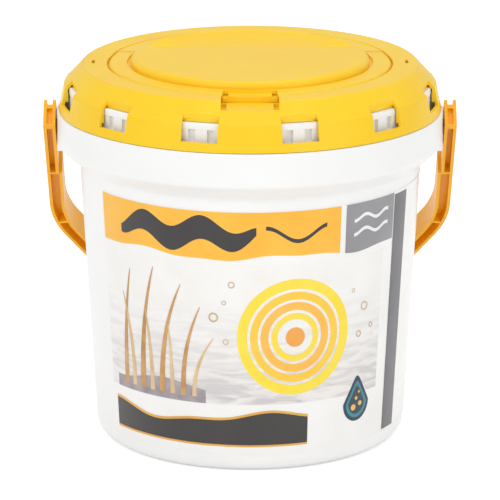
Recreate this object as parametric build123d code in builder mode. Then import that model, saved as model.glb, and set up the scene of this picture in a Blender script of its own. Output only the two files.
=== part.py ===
"""Aerated bait bucket: a round insulated pail with a swinging bail, a snap-on lid, a flip door over the lid's
well, and a battery aerator unit that lies in that well.

Frame: +Z up, origin at the centre of the base. The front of the bucket, with the finger notch, faces -Y.
All sizes are in millimetres.
"""
import os
from math import cos, hypot, radians, sin, sqrt

from build123d import *

os.makedirs("parts", exist_ok=True)

# ---------------------------------------------------------------- general fits
FACE_GAP = 0.3          # between faces of pieces that move apart
SLIDE_GAP = 0.4         # round a piece that slides in an opening
RUN_FIT = 0.06          # radial running fit of pins and shafts
SKIN_GAP = 0.05         # under a skin that is stuck on
WELD = 0.4              # how far a rib or boss runs into the wall that carries it

# ---------------------------------------------------------------- bucket
BASE_R = 100.1          # body radius, carried down to the base plane
BODY_TOP_Z = 181.0      # where the straight body ends
BODY_TOP_R = 109.97
BASE_FILLET = 9.0
BUCKET_WALL = 2.4
COLLAR_STEP = 1.2       # wide band that carries the bail, outside the lid's skirt
COLLAR_LOW_Z = 193.0
COLLAR_TOP_Z = 214.2
COLLAR_FILLET = 5.0
COLLAR_EDGE = 1.0
FLARE_BEND_R = 4.0      # inside bend where the body turns out to the collar
LUG_LOW_Z = 187.6       # the collar comes down this far at the pivots
LUG_HALF_W = 11.0
NECK_WALL = 2.6         # at the bottom of the rib pockets
RIB_SHY = 0.4           # crests of the neck ribs and the band below them, inside the bead
BAND_TOP_Z = 218.6
BEAD_LOW_Z = 227.2
BEAD_R = 116.8          # bead round the rim
BEAD_PROUD = 3.0        # outside the rib pockets
RIM_Z = 231.2
BEAD_FILLET = 1.4
RIB_COUNT = 60
RIB_POCKET_W = 4.6
FOOT_RING_W = 8.0       # the base rests on a ring this wide
FOOT_RECESS = 1.2

# ---------------------------------------------------------------- foam liner
LINER_WALL = 9.5
LINER_FLOOR = 11.0
LINER_GAP = 0.3
LINER_TOP_Z = 186.0
LINER_FILLET = 12.0
LINER_INNER_FILLET = 8.0

# ---------------------------------------------------------------- label
LABEL_LOW_Z = 12.0
LABEL_TOP_Z = 174.0
LABEL_LEFT_DEG = 59.0   # left edge of the label, round from the front
LABEL_SWEEP_DEG = 236.0
LABEL_T = 0.25

# ---------------------------------------------------------------- bail
PIVOT_Z = 201.0
BAIL_TILT_DEG = 42.5    # rest angle of the bail, behind the bucket, from straight down
BAIL_REST_GAP = 0.8     # between the resting grip and the body
BAIL_SIDE_GAP = 0.6     # between the legs and the collar
BAIL_LEG_T = 7.8        # thickness of the ears and the upper legs
BAIL_GRIP_T = 9.8       # thickness below the shoulder
BAIL_DEPTH = 17.2       # square to the plane of the bail
BAIL_EAR_TOP = 14.0     # ear beyond the pivot
BAIL_THICKEN = 42.5     # from the pivot to the step where the legs thicken
BAIL_SHOULDER = 100.8   # from the pivot to the bend of the legs
BAIL_SHOULDER_DEG = 25.5
BAIL_SHOULDER_R = 92.0
BAIL_CORNER_R = 58.0
BAIL_POCKET = 6.5       # depth of the channel on each face
BAIL_FLANGE = 2.1
BAIL_RIB_T = 2.0
BAIL_RIB_PITCH = 61.0
BAIL_RIB_INSET = 1.0    # the second rib sits this much further in, at the bend
EAR_POCKET = 2.4        # depth of the pocket in the end of the ear
EAR_POCKET_WALL = 1.5   # between that pocket and the front channel
EAR_POCKET_LOW = 1.4    # wall of that pocket on the front face
EAR_POCKET_HIGH = 3.8   # and towards the back face
EAR_HORN = 3.2          # flanges of the ears behind the back face
EAR_HORN_LOW = 8.0      # where they start to run back into that face
EAR_HORN_END = 20.0
EAR_NOTCH = 0.9         # depth of the notch between them, from the back face
EAR_ROUND = 1.2
PIN_R = 5.0
PIN_HEAD_R = 6.4
PIN_HEAD_T = 1.8

# ---------------------------------------------------------------- lid
SKIRT_CLEAR = 2.8       # top of the skirt outside the bucket's bead
SKIRT_FLARE = 3.4       # and its lower edge outside that
SKIRT_TOP_Z = 231.0
SKIRT_LIFT = 0.4        # skirt's lower edge above the collar
SKIRT_WALL = 2.0
SHOULDER_ROUND = 3.0
CONE_RUN = 12.3         # from the top of the skirt in to the flat ring
RING_Z = 244.0
RING_T = 2.4
RING_ROUND = 2.5
PLUG_T = 2.4
PLUG_LOW_Z = 223.0
PLUG_GAP = 0.5
LEDGE_Z = 237.0
LEDGE_T = 2.4
SEAT_WALL = 2.2         # wall round the door's opening
WINDOW_COUNT = 12
WINDOW_W = 23.4
WINDOW_LOW_Z = 220.0
WINDOW_TOP_Z = 237.6
WINDOW_BITE = 2.4       # how far inside the bead the windows are cut
JAMB_T = 2.0            # walls behind the skirt at both sides of a window
SNAP_LOW_Z = 222.0
SNAP_TOP_Z = 225.6
SNAP_W = 14.0
SLOT_L = 9.0
SLOT_W = 2.0
NOTCH_HALF_W = 18.0
NOTCH_FLOOR_Z = 239.0
NOTCH_STEP = 0.6        # the floor is lower under the door's tab
NOTCH_FLOOR_T = 3.2
NOTCH_RUN = 5.3         # deeper slots end this far outside the flat ring
NOTCH_WELL_W = 3.4      # deeper slots at both ends of the notch
NOTCH_WELL_D = 2.0
LATCH_HOLE_L = 15.0
LATCH_HOLE_W = 8.0

# ---------------------------------------------------------------- flip door and hinge
DOOR_SEAT_R = 91.6      # bore of the ring that the door sits in
DOOR_GAP = 1.0          # round the rim of the door
DOOR_EDGE = 2.0         # rounded edge of that rim
SEAT_EDGE = 1.0         # and of the ring beside it
DOOR_Z = 244.2          # flat rim of the door
DOOR_T = 2.8
DISC_INSET = 15.0       # raised disc, measured at the groove, inside that bore
DISC_Z = 248.5
DISC_ROUND = 4.2
DISC_WALL = 2.4
GROOVE_W = 2.4
GROOVE_D = 1.6
SEAT_RIB_INSET = 2.6    # rib under the rim that stands on the ledge, inside that bore
SEAT_RIB_T = 2.0
HINGE_Y = 27.0
HINGE_Z = 243.0
HINGE_PIN_R = 1.5
KNUCKLE_R = 3.3
KNUCKLE_GAP = 0.4
KNUCKLE_COUNT = 7       # odd, so that the lid holds both ends
HINGE_HALF_L = 68.0
HINGE_CLEAR = 0.8       # round the barrel
HINGE_SPLIT = 0.4       # beside the barrel, the door stops this far in front of the axis
HINGE_DECK_GAP = 1.75   # and the deck starts this far behind it
HINGE_SIDE = 2.0        # between the end of the barrel and those side parts
HINGE_PIN_HEAD_R = 2.3
HINGE_PIN_HEAD_T = 1.0
SWING_CLEAR = 0.7       # round the path of the disc's rear edge
SWING_RAMP = 14.0       # the crescent rises over this length behind that path
HINGE_WEB_H = 1.6       # height of the hinge webs above or below the axis
DECK_GROOVE_D = 1.2
DISH_INSET = 5.2        # rim of the dish behind the hinge, inside the disc's edge
DISH_RIM_Z = 247.8
DISH_LOW_Z = 243.2
DISH_SAG = 0.9
TAB_HALF_W = 13.6
TAB_SLIT_W = 3.4
TAB_REACH = 11.6        # inner end of the scoop and of the slits beside the tab, inside the bore
TAB_LOW_Z = 238.7
TAB_SCOOP = 1.5
TAB_EDGE_W = 2.4        # width of its thick front edge
TAB_SLIT_D = 3.1        # depth of the slits, from the top of the door
CATCH_W = 12.0
CATCH_T = 2.2
CATCH_LEN = 9.0
CATCH_BARB = 1.2

# ---------------------------------------------------------------- aerator case and its well
CASE_R = 71.5
CASE_FLAT_Y = 11.5
CASE_CORNER_R = 12.0
CASE_WALL = 2.2
WELL_GAP = 1.0
WELL_WALL = 2.0
WELL_FLOOR_T = 2.2
WELL_FLOOR_Z = 193.0
CASE_TOP_Z = 234.6
CASE_SPLIT_Z = 226.0
SEAL_T = 1.0
SEAL_INSET = 0.4
CASE_TOP_ROUND = 2.0
CASE_BOSS_R = 2.7
CASE_BOSS_REAR = (65.6, 1.2)
CASE_BOSS_FRONT = (45.0, -46.0)
CASE_SCREW_R = 1.0
CASE_SCREW_HEAD_R = 1.7
CASE_SCREW_HEAD_T = 1.2
CASE_SCREW_LEN = 12.0
CASE_SCREW_BITE = 4.0   # of the screw in the top half

# ---------------------------------------------------------------- cells and contacts
CELL_R = 17.1
CELL_LEN = 60.0
CELL_NUB_R = 4.75
CELL_NUB = 1.5
CELL_X = 17.6
CONTACT_T = 0.5
CONTACT_W = 14.0
CONTACT_H = 20.0
CONTACT_PAD = 1.0       # wall behind a contact
SPRING_LEN = 4.2
SPRING_WIRE_R = 0.4
SPRING_R = 6.0
SPRING_TURNS = 3
PARTITION_T = 1.4
PARTITION_GAP = 0.8
PARTITION_LOW = 2.0     # top of the partitions below the split
SADDLE_T = 2.0
SADDLE_H = 8.0
SADDLE_INSET = 12.0     # saddles from the ends of the cells

# ---------------------------------------------------------------- switch
SWITCH_X = -54.0
SWITCH_Y = -4.0
SWITCH_SIZE = 15.0
SWITCH_H = 12.0
SWITCH_DROP = 1.0       # top of the switch below the split
SWITCH_STEM_R = 2.5
SWITCH_TRAVEL = 1.5
POST_SIZE = 12.0
POST_WALL = 1.5
BUTTON_SIZE = 13.0
BUTTON_PROUD = 1.8
BUTTON_FLANGE = 0.9
BUTTON_FLANGE_T = 1.8
BUTTON_ROUND = 0.8
STEM_BITE = 4.0         # stem in the switch at rest

# ---------------------------------------------------------------- motor
MOTOR_X = 52.6
MOTOR_Z = 219.6
MOTOR_R = 10.2
MOTOR_REAR_Y = 4.0
MOTOR_LEN = 21.0
MOTOR_CAP_LEN = 3.0
MOTOR_BOSS_R = 3.0
MOTOR_BOSS_LEN = 1.6
SHAFT_R = 1.0
SHAFT_IN = 6.0
CLAMP_GAP = 0.1
CLAMP_T = 1.6
CLAMP_W = 8.0
CLAMP_FOOT = 3.6
CLAMP_FOOT_Z = 214.4
CLAMP_Y = -6.0
CLAMP_SCREW_R = 1.0
CLAMP_HEAD_R = 1.6
CLAMP_HEAD_T = 1.2
CLAMP_SCREW_LEN = 8.0

# ---------------------------------------------------------------- pump, tube and outlet
PUMP_Y = -26.0
PUMP_R = 9.5
PUMP_H = 8.6
PUMP_WALL = 1.6
PUMP_CAP_T = 1.6
DIAPHRAGM_R = 8.5
DIAPHRAGM_H = 4.4
DIAPHRAGM_T = 0.6
DIAPHRAGM_TOP_R = 4.2
CRANK_R = 3.4
CRANK_OFFSET = 1.2
CRANK_T = 5.0
ROD_T = 3.0
ROD_STROKE = 1.2
ROD_WALL = 1.6
ROD_STEM_R = 1.5
ROD_FOOT_R = 4.0
ROD_FOOT_T = 1.4
TUBE_R = 2.6
TUBE_BORE_R = 1.5
TUBE_Z = 200.2
BARB_LEN = 4.0
BARB_BORE_R = 0.8
NIPPLE_Y = 4.0
NIPPLE_R = 2.4
NIPPLE_LEN = 10.0
NIPPLE_BORE_R = 1.2
SPIGOT_R = 3.0
SPIGOT_FLANGE_R = 5.0
SPIGOT_FLANGE_T = 1.6

# ---------------------------------------------------------------- leads
LEAD_R = 0.6
LEAD_BEND_R = 1.4
LEAD_CLEAR = 0.6        # under the case's ceiling and between leads
TERMINAL_HALF = 4.0     # terminals either side of the middle of the switch and the motor
TERMINAL_Z = 222.0


# ---------------------------------------------------------------- derived places
def line_at(start, end, z):
    """Radius at height z on the straight line through two (radius, height) points."""
    return start[0] + (end[0] - start[0]) * (z - start[1]) / (end[1] - start[1])


NECK_R = BEAD_R - BEAD_PROUD
NECK_BORE_R = NECK_R - NECK_WALL
RIB_R = BEAD_R - RIB_SHY
SKIRT_TOP_R = BEAD_R + SKIRT_CLEAR
SKIRT_LOW_R = SKIRT_TOP_R + SKIRT_FLARE
COLLAR_R = SKIRT_LOW_R + COLLAR_STEP
BAIL_HALF_W = COLLAR_R + BAIL_SIDE_GAP + BAIL_LEG_T
RING_OUT_R = SKIRT_TOP_R - CONE_RUN
WINDOW_IN_R = BEAD_R - WINDOW_BITE
NOTCH_OUT_R = RING_OUT_R + NOTCH_RUN
BODY_SLOPE = (BODY_TOP_R - BASE_R) / BODY_TOP_Z
FLOOR_Z = FOOT_RECESS + BUCKET_WALL
BORE_LOW = (BASE_R - BUCKET_WALL, FLOOR_Z)
BORE_HIGH = (BODY_TOP_R - BUCKET_WALL, BODY_TOP_Z + BUCKET_WALL / 2)
SKIRT_LOW_Z = COLLAR_TOP_Z + SKIRT_LIFT
CONE_LOW = (SKIRT_TOP_R, SKIRT_TOP_Z)
CONE_HIGH = (RING_OUT_R, RING_Z)
CONE_SHIFT = SKIRT_WALL * hypot(SKIRT_TOP_R - RING_OUT_R, RING_Z - SKIRT_TOP_Z) / (RING_Z - SKIRT_TOP_Z)
LID_STOP_Z = RIM_Z + FACE_GAP
DOOR_R = DOOR_SEAT_R - DOOR_GAP
DISC_R = DOOR_SEAT_R - DISC_INSET
DISH_R = DISC_R - DISH_INSET
SEAT_RIB_R = DOOR_SEAT_R - SEAT_RIB_INSET
TAB_IN_R = DOOR_SEAT_R - TAB_REACH
LATCH_HOLE_Y = -TAB_IN_R
SEAT_OUT_R = DOOR_SEAT_R + SEAT_WALL
SLOT_R = (SEAT_OUT_R + RING_OUT_R) / 2
PLUG_R = NECK_BORE_R - PLUG_GAP
SNAP_R = BEAD_R + FACE_GAP
LEDGE_LOW_Z = LEDGE_Z - LEDGE_T
BARREL_FRONT_Y = HINGE_Y - KNUCKLE_R - HINGE_CLEAR
DECK_Y = HINGE_Y + KNUCKLE_R + HINGE_CLEAR
KNUCKLE_PITCH = 2 * HINGE_HALF_L / KNUCKLE_COUNT
SWING_R = hypot(HINGE_Y - BARREL_FRONT_Y, DISC_Z - HINGE_Z) + SWING_CLEAR
WINDOW_PITCH = 360.0 / WINDOW_COUNT
CASE_FLOOR_Z = WELL_FLOOR_Z + CASE_WALL
CASE_CEILING_Z = CASE_TOP_Z - CASE_WALL
TOP_CASE_LOW_Z = CASE_SPLIT_Z + SEAL_T
CASE_REAR_Y = CASE_FLAT_Y - CASE_WALL
CELL_Z = CASE_FLOOR_Z + CELL_R + FACE_GAP
CONTACT_REAR_Y = CASE_REAR_Y - CONTACT_PAD - CONTACT_T
CELL_SPACE = CELL_LEN + CELL_NUB + SPRING_LEN
BRIDGE_Y = CONTACT_REAR_Y - CELL_SPACE
CONTACT_TOP_Z = CELL_Z + CONTACT_H / 2
PARTITION_X = CELL_X + CELL_R + PARTITION_GAP
SWITCH_TOP_Z = CASE_SPLIT_Z - SWITCH_DROP
BUTTON_LOW_Z = CASE_CEILING_Z - FACE_GAP - BUTTON_FLANGE_T
CAN_REAR_Y = MOTOR_REAR_Y - MOTOR_CAP_LEN
CAN_FRONT_Y = CAN_REAR_Y - MOTOR_LEN
BOSS_FRONT_Y = CAN_FRONT_Y - MOTOR_BOSS_LEN
CLAMP_IN_R = MOTOR_R + CLAMP_GAP
CLAMP_OUT_R = CLAMP_IN_R + CLAMP_T
PUMP_TOP_Z = CASE_FLOOR_Z + PUMP_H
DIAPHRAGM_TOP_Z = PUMP_TOP_Z + DIAPHRAGM_H
ROD_FOOT_Z = DIAPHRAGM_TOP_Z + FACE_GAP
YOKE_X = CRANK_R + CRANK_OFFSET + SLIDE_GAP
YOKE_Z = CRANK_R + CRANK_OFFSET + ROD_STROKE + FACE_GAP
LEAD_Z = CASE_CEILING_Z - LEAD_CLEAR - LEAD_R
LEAD_REAR_Y = CONTACT_REAR_Y + CONTACT_T / 2
LEAD_FRONT_Y = LEAD_REAR_Y - 2 * LEAD_R - LEAD_CLEAR
TILT = radians(BAIL_TILT_DEG)
# the grip's inner edge, where it clears the tapering body by BAIL_REST_GAP
GRIP_INNER = (
    BASE_R + BODY_SLOPE * (PIVOT_Z - BAIL_DEPTH / 2 * sin(TILT)) + BAIL_REST_GAP + BAIL_DEPTH / 2 * cos(TILT)
) / (sin(TILT) + BODY_SLOPE * cos(TILT))
BAIL_REACH = GRIP_INNER + BAIL_GRIP_T


def labelled(builder, label):
    """Name a finished part and write it out."""
    builder.part.label = label
    export_step(builder.part, f"parts/{label}.step")


def near(sketch, x, y):
    """The corner of a sketch that is nearest to its own point (x, y)."""
    return sketch.vertices().sort_by_distance((x, y, 0))[0]


def ring(z, outer_r, inner_r, height, mode=Mode.ADD):
    """Add or cut a plain ring that stands on height z."""
    with BuildSketch(Plane.XY.offset(z)) as outline:
        Circle(outer_r)
        Circle(inner_r, mode=Mode.SUBTRACT)
    extrude(outline.sketch, amount=height, mode=mode)


def d_prism(radius, flat_y, corner_r, low_z, high_z, mode=Mode.ADD):
    """Add or cut an upright prism whose outline is a circle with its rear cut flat."""
    with BuildSketch(Plane.XY.offset(low_z)) as outline:
        Circle(radius)
        with Locations((0, flat_y)):
            Rectangle(2 * radius, 2 * radius, align=(Align.CENTER, Align.MIN), mode=Mode.SUBTRACT)
        fillet(outline.vertices().group_by(Axis.Y)[-1], corner_r)
    extrude(outline.sketch, amount=high_z - low_z, mode=mode)


def case_prism(inset, low_z, high_z, mode=Mode.ADD):
    """A D-shaped prism set in from the aerator case's outline; a negative inset stands out."""
    d_prism(CASE_R - inset, CASE_FLAT_Y - inset, CASE_CORNER_R - inset, low_z, high_z, mode)


def upright(x, y, radius, low_z, high_z, mode=Mode.ADD):
    """Add or cut an upright cylinder."""
    with BuildSketch(Plane.XY.offset(low_z)) as outline:
        with Locations((x, y)):
            Circle(radius)
    extrude(outline.sketch, amount=high_z - low_z, mode=mode)


def along_y(x, z, radius, front_y, rear_y, mode=Mode.ADD):
    """Add or cut a cylinder that lies along Y."""
    with BuildSketch(Plane.XZ.offset(-rear_y)) as outline:
        with Locations((x, z)):
            Circle(radius)
    extrude(outline.sketch, amount=rear_y - front_y, mode=mode)


def along_x(y, z, radius, left_x, right_x, mode=Mode.ADD):
    """Add or cut a cylinder that lies along X."""
    with BuildSketch(Plane.YZ.offset(left_x)) as outline:
        with Locations((y, z)):
            Circle(radius)
    extrude(outline.sketch, amount=right_x - left_x, mode=mode)


def block(x_range, y_range, z_range, mode=Mode.ADD):
    """Add or cut a box between two limits along each axis."""
    with BuildSketch(Plane.XY.offset(z_range[0])) as outline:
        with Locations(((x_range[0] + x_range[1]) / 2, (y_range[0] + y_range[1]) / 2)):
            Rectangle(x_range[1] - x_range[0], y_range[1] - y_range[0])
    extrude(outline.sketch, amount=z_range[1] - z_range[0], mode=mode)


def square_block(x, y, size, low_z, high_z, mode=Mode.ADD):
    """Add or cut an upright square prism."""
    block((x - size / 2, x + size / 2), (y - size / 2, y + size / 2), (low_z, high_z), mode)


# ================================================================ bucket
with BuildPart() as pivot_lugs:
    lug_in_r = line_at((BODY_TOP_R, BODY_TOP_Z), (COLLAR_R, COLLAR_LOW_Z), LUG_LOW_Z) - WELD
    with BuildSketch(Plane.XZ):
        with BuildLine():
            Polyline(
                (lug_in_r, LUG_LOW_Z),
                (COLLAR_R, LUG_LOW_Z),
                (COLLAR_R, COLLAR_LOW_Z + COLLAR_FILLET),
                (COLLAR_R - WELD, COLLAR_LOW_Z + COLLAR_FILLET),
                close=True,
            )
        make_face()
    revolve(axis=Axis.Z)
    block((-COLLAR_R, COLLAR_R), (-LUG_HALF_W, LUG_HALF_W), (LUG_LOW_Z, COLLAR_TOP_Z), Mode.INTERSECT)

with BuildPart() as bucket_shell:
    with BuildSketch(Plane.XZ) as shell_profile:
        with BuildLine():
            Polyline(
                (0, FOOT_RECESS),
                (BASE_R - BASE_FILLET - FOOT_RING_W, FOOT_RECESS),
                (BASE_R - BASE_FILLET - FOOT_RING_W + FOOT_RECESS, 0),
                (BASE_R, 0),
                (BODY_TOP_R, BODY_TOP_Z),
                (COLLAR_R, COLLAR_LOW_Z),
                (COLLAR_R, COLLAR_TOP_Z),
                (RIB_R, COLLAR_TOP_Z),
                (RIB_R, BAND_TOP_Z),
                (NECK_R, BAND_TOP_Z),
                (NECK_R, BEAD_LOW_Z),
                (BEAD_R, BEAD_LOW_Z),
                (BEAD_R, RIM_Z),
                (NECK_BORE_R, RIM_Z),
                (NECK_BORE_R, COLLAR_TOP_Z - BUCKET_WALL),
                (COLLAR_R - BUCKET_WALL, COLLAR_TOP_Z - BUCKET_WALL),
                (COLLAR_R - BUCKET_WALL, COLLAR_LOW_Z + BUCKET_WALL / 2),
                BORE_HIGH,
                BORE_LOW,
                (0, FLOOR_Z),
                close=True,
            )
        make_face()
        fillet(near(shell_profile, BASE_R, 0), BASE_FILLET)
        fillet(near(shell_profile, *BORE_LOW), BASE_FILLET - BUCKET_WALL)
        fillet(near(shell_profile, BODY_TOP_R, BODY_TOP_Z), FLARE_BEND_R)
        fillet(near(shell_profile, COLLAR_R, COLLAR_LOW_Z), COLLAR_FILLET)
        fillet(near(shell_profile, COLLAR_R, COLLAR_TOP_Z), COLLAR_EDGE)
        fillet(near(shell_profile, BEAD_R, RIM_Z), BEAD_FILLET)
        fillet(near(shell_profile, NECK_BORE_R, RIM_Z), BEAD_FILLET)
    revolve(axis=Axis.Z)
    # ribs round the neck, between the band and the rim bead
    with BuildSketch(Plane.XY.offset(BAND_TOP_Z)):
        Circle(RIB_R)
        Circle(NECK_R - WELD, mode=Mode.SUBTRACT)
        with PolarLocations(RIB_R, RIB_COUNT):
            Rectangle(4 * (RIB_R - NECK_R), RIB_POCKET_W, mode=Mode.SUBTRACT)
    extrude(amount=BEAD_LOW_Z - BAND_TOP_Z)
    add(pivot_lugs.part)
    # pivot holes for the bail
    for hole_x in (-COLLAR_R, COLLAR_R):
        along_x(0, PIVOT_Z, PIN_R + SLIDE_GAP / 2, hole_x - 3 * BUCKET_WALL, hole_x + 3 * BUCKET_WALL,
                Mode.SUBTRACT)
labelled(bucket_shell, "bucket_shell")

# ================================================================ foam liner
with BuildPart() as foam_liner:
    liner_low_z = FLOOR_Z + LINER_GAP
    liner_r = line_at(BORE_LOW, BORE_HIGH, liner_low_z) - LINER_GAP
    liner_top_r = line_at(BORE_LOW, BORE_HIGH, LINER_TOP_Z) - LINER_GAP
    with BuildSketch(Plane.XZ) as liner_profile:
        with BuildLine():
            Polyline(
                (0, liner_low_z),
                (liner_r, liner_low_z),
                (liner_top_r, LINER_TOP_Z),
                (liner_top_r - LINER_WALL, LINER_TOP_Z),
                (liner_r - LINER_WALL, liner_low_z + LINER_FLOOR),
                (0, liner_low_z + LINER_FLOOR),
                close=True,
            )
        make_face()
        fillet(near(liner_profile, liner_r, liner_low_z), LINER_FILLET)
        fillet(near(liner_profile, liner_r - LINER_WALL, liner_low_z + LINER_FLOOR), LINER_INNER_FILLET)
    revolve(axis=Axis.Z)
labelled(foam_liner, "foam_liner")

# ================================================================ label
with BuildPart() as front_label:
    label_start = radians(-90 - LABEL_LEFT_DEG)
    label_plane = Plane((0, 0, 0), x_dir=(cos(label_start), sin(label_start), 0),
                        z_dir=(sin(label_start), -cos(label_start), 0))
    label_low_r = BASE_R + BODY_SLOPE * LABEL_LOW_Z + SKIN_GAP
    label_top_r = BASE_R + BODY_SLOPE * LABEL_TOP_Z + SKIN_GAP
    with BuildSketch(label_plane):
        with BuildLine():
            Polyline(
                (label_low_r, LABEL_LOW_Z),
                (label_low_r + LABEL_T, LABEL_LOW_Z),
                (label_top_r + LABEL_T, LABEL_TOP_Z),
                (label_top_r, LABEL_TOP_Z),
                close=True,
            )
        make_face()
    revolve(axis=Axis.Z, revolution_arc=LABEL_SWEEP_DEG)
labelled(front_label, "front_label")

# ================================================================ bail
# The bail has its own plane through the pivots: x is across the bucket, y runs from the pivots to the grip.
BAIL_PLANE = Plane((0, 0, PIVOT_Z), x_dir=(1, 0, 0), z_dir=(0, cos(TILT), sin(TILT)))


def bail_region(inset, reach_top):
    """Fill the bail's outline, set in by an amount, from beyond the pivots to the grip."""
    lean = radians(BAIL_SHOULDER_DEG)
    half_w = BAIL_HALF_W - inset
    reach = BAIL_REACH - inset
    shoulder = BAIL_SHOULDER - inset * (1 - cos(lean)) / sin(lean)
    corner_x = half_w - (reach - shoulder) * sin(lean) / cos(lean)
    with BuildSketch(mode=Mode.PRIVATE) as region:
        with BuildLine():
            FilletPolyline(
                (half_w, -reach_top),
                (half_w, shoulder),
                (corner_x, reach),
                (-corner_x, reach),
                (-half_w, shoulder),
                (-half_w, -reach_top),
                radius=[BAIL_SHOULDER_R - inset, BAIL_CORNER_R - inset,
                        BAIL_CORNER_R - inset, BAIL_SHOULDER_R - inset],
            )
            Line((-half_w, -reach_top), (half_w, -reach_top))
        make_face()
    return region.sketch


def bail_band(outer_inset, inner_inset, low, high):
    """The band between two insets of the bail's outline, between two distances from the pivots."""
    with BuildSketch(mode=Mode.PRIVATE) as band:
        add(bail_region(outer_inset, BAIL_EAR_TOP + BAIL_DEPTH))
        add(bail_region(inner_inset, BAIL_EAR_TOP + 2 * BAIL_DEPTH), mode=Mode.SUBTRACT)
        with Locations((0, (low + high) / 2)):
            Rectangle(3 * BAIL_HALF_W, high - low, mode=Mode.INTERSECT)
    return band.sketch


with BuildPart() as bail_handle:
    with BuildSketch(BAIL_PLANE):
        add(bail_band(0, BAIL_LEG_T, -BAIL_EAR_TOP, BAIL_THICKEN))
        add(bail_band(0, BAIL_GRIP_T, BAIL_THICKEN - WELD, BAIL_REACH + WELD))
    extrude(amount=BAIL_DEPTH / 2, both=True)
    # the ears are deeper than the legs
    for side in (-1, 1):
        with BuildSketch(Plane(BAIL_PLANE.origin, x_dir=BAIL_PLANE.y_dir, z_dir=(1, 0, 0))
                         .offset(side * (BAIL_HALF_W - BAIL_LEG_T / 2))):
            with BuildLine():
                Polyline(
                    (-BAIL_EAR_TOP, 0),
                    (-BAIL_EAR_TOP, BAIL_DEPTH / 2 + EAR_HORN),
                    (EAR_HORN_LOW, BAIL_DEPTH / 2 + EAR_HORN),
                    (EAR_HORN_END, BAIL_DEPTH / 2 - WELD),
                    (EAR_HORN_END, 0),
                    close=True,
                )
            make_face()
        extrude(amount=BAIL_LEG_T / 2, both=True)
    fillet(bail_handle.edges().filter_by(Axis.X).group_by(Axis.Z)[-1], EAR_ROUND)
    # channels on the front and back faces, crossed by ribs square to the legs
    rib_x = BAIL_HALF_W - BAIL_GRIP_T / 2
    bend_rib_x = rib_x - BAIL_RIB_INSET
    bend_rib_y = BAIL_THICKEN + BAIL_RIB_PITCH
    ear_wall = EAR_POCKET + EAR_POCKET_WALL
    for face in (-1, 1):
        with BuildSketch(BAIL_PLANE.offset(face * BAIL_DEPTH / 2)):
            add(bail_band(BAIL_FLANGE, BAIL_LEG_T - BAIL_FLANGE, ear_wall - BAIL_EAR_TOP, BAIL_THICKEN))
            add(bail_band(BAIL_FLANGE, BAIL_GRIP_T - BAIL_FLANGE, BAIL_THICKEN - WELD, BAIL_REACH + WELD))
            with Locations((rib_x, BAIL_THICKEN), (-rib_x, BAIL_THICKEN)):
                Rectangle(2 * BAIL_GRIP_T, BAIL_RIB_T, mode=Mode.SUBTRACT)
            with Locations(Location((bend_rib_x, bend_rib_y, 0), (0, 0, BAIL_SHOULDER_DEG / 2)),
                           Location((-bend_rib_x, bend_rib_y, 0), (0, 0, -BAIL_SHOULDER_DEG / 2))):
                Rectangle(2 * BAIL_GRIP_T, BAIL_RIB_T, mode=Mode.SUBTRACT)
        extrude(amount=-face * BAIL_POCKET, mode=Mode.SUBTRACT)
    # pocket in the end of each ear
    pocket_w = BAIL_DEPTH - EAR_POCKET_LOW - EAR_POCKET_HIGH
    pocket_middle = (EAR_POCKET_LOW - EAR_POCKET_HIGH) / 2
    ear_x = BAIL_HALF_W - BAIL_LEG_T / 2
    ear_middle = BAIL_PLANE.from_local_coords((0, -BAIL_EAR_TOP, 0))
    with BuildSketch(Plane(ear_middle, x_dir=(1, 0, 0), z_dir=-BAIL_PLANE.y_dir)):
        with Locations((ear_x, pocket_middle), (-ear_x, pocket_middle)):
            Rectangle(BAIL_LEG_T - 2 * BAIL_FLANGE, pocket_w)
    extrude(amount=-EAR_POCKET, mode=Mode.SUBTRACT)
    # notch between the flanges of each ear
    with BuildSketch(BAIL_PLANE.offset(BAIL_DEPTH / 2 - EAR_NOTCH)):
        with Locations((ear_x, 0), (-ear_x, 0)):
            Rectangle(BAIL_LEG_T - 2 * BAIL_FLANGE, 2 * EAR_HORN_END)
    extrude(amount=EAR_NOTCH + EAR_HORN, mode=Mode.SUBTRACT)
    # pivot pins, with heads inside the collar
    head_x = sqrt((COLLAR_R - BUCKET_WALL) ** 2 - PIN_HEAD_R ** 2) - FACE_GAP
    inner_x = BAIL_HALF_W - BAIL_LEG_T
    along_x(0, PIVOT_Z, PIN_R, head_x - PIN_HEAD_T, inner_x + WELD)
    along_x(0, PIVOT_Z, PIN_HEAD_R, head_x - PIN_HEAD_T, head_x)
    along_x(0, PIVOT_Z, PIN_R, -inner_x - WELD, PIN_HEAD_T - head_x)
    along_x(0, PIVOT_Z, PIN_HEAD_R, -head_x, PIN_HEAD_T - head_x)
labelled(bail_handle, "bail_handle")

# ================================================================ lid
def cone_under(z):
    """Radius of the underside of the lid's cone at height z."""
    return line_at(CONE_LOW, CONE_HIGH, z) - CONE_SHIFT


def cone_under_z(radius):
    """Height of the underside of the lid's cone at a radius."""
    return RING_Z - (radius + CONE_SHIFT - RING_OUT_R) * (RING_Z - SKIRT_TOP_Z) / (SKIRT_TOP_R - RING_OUT_R)


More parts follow.
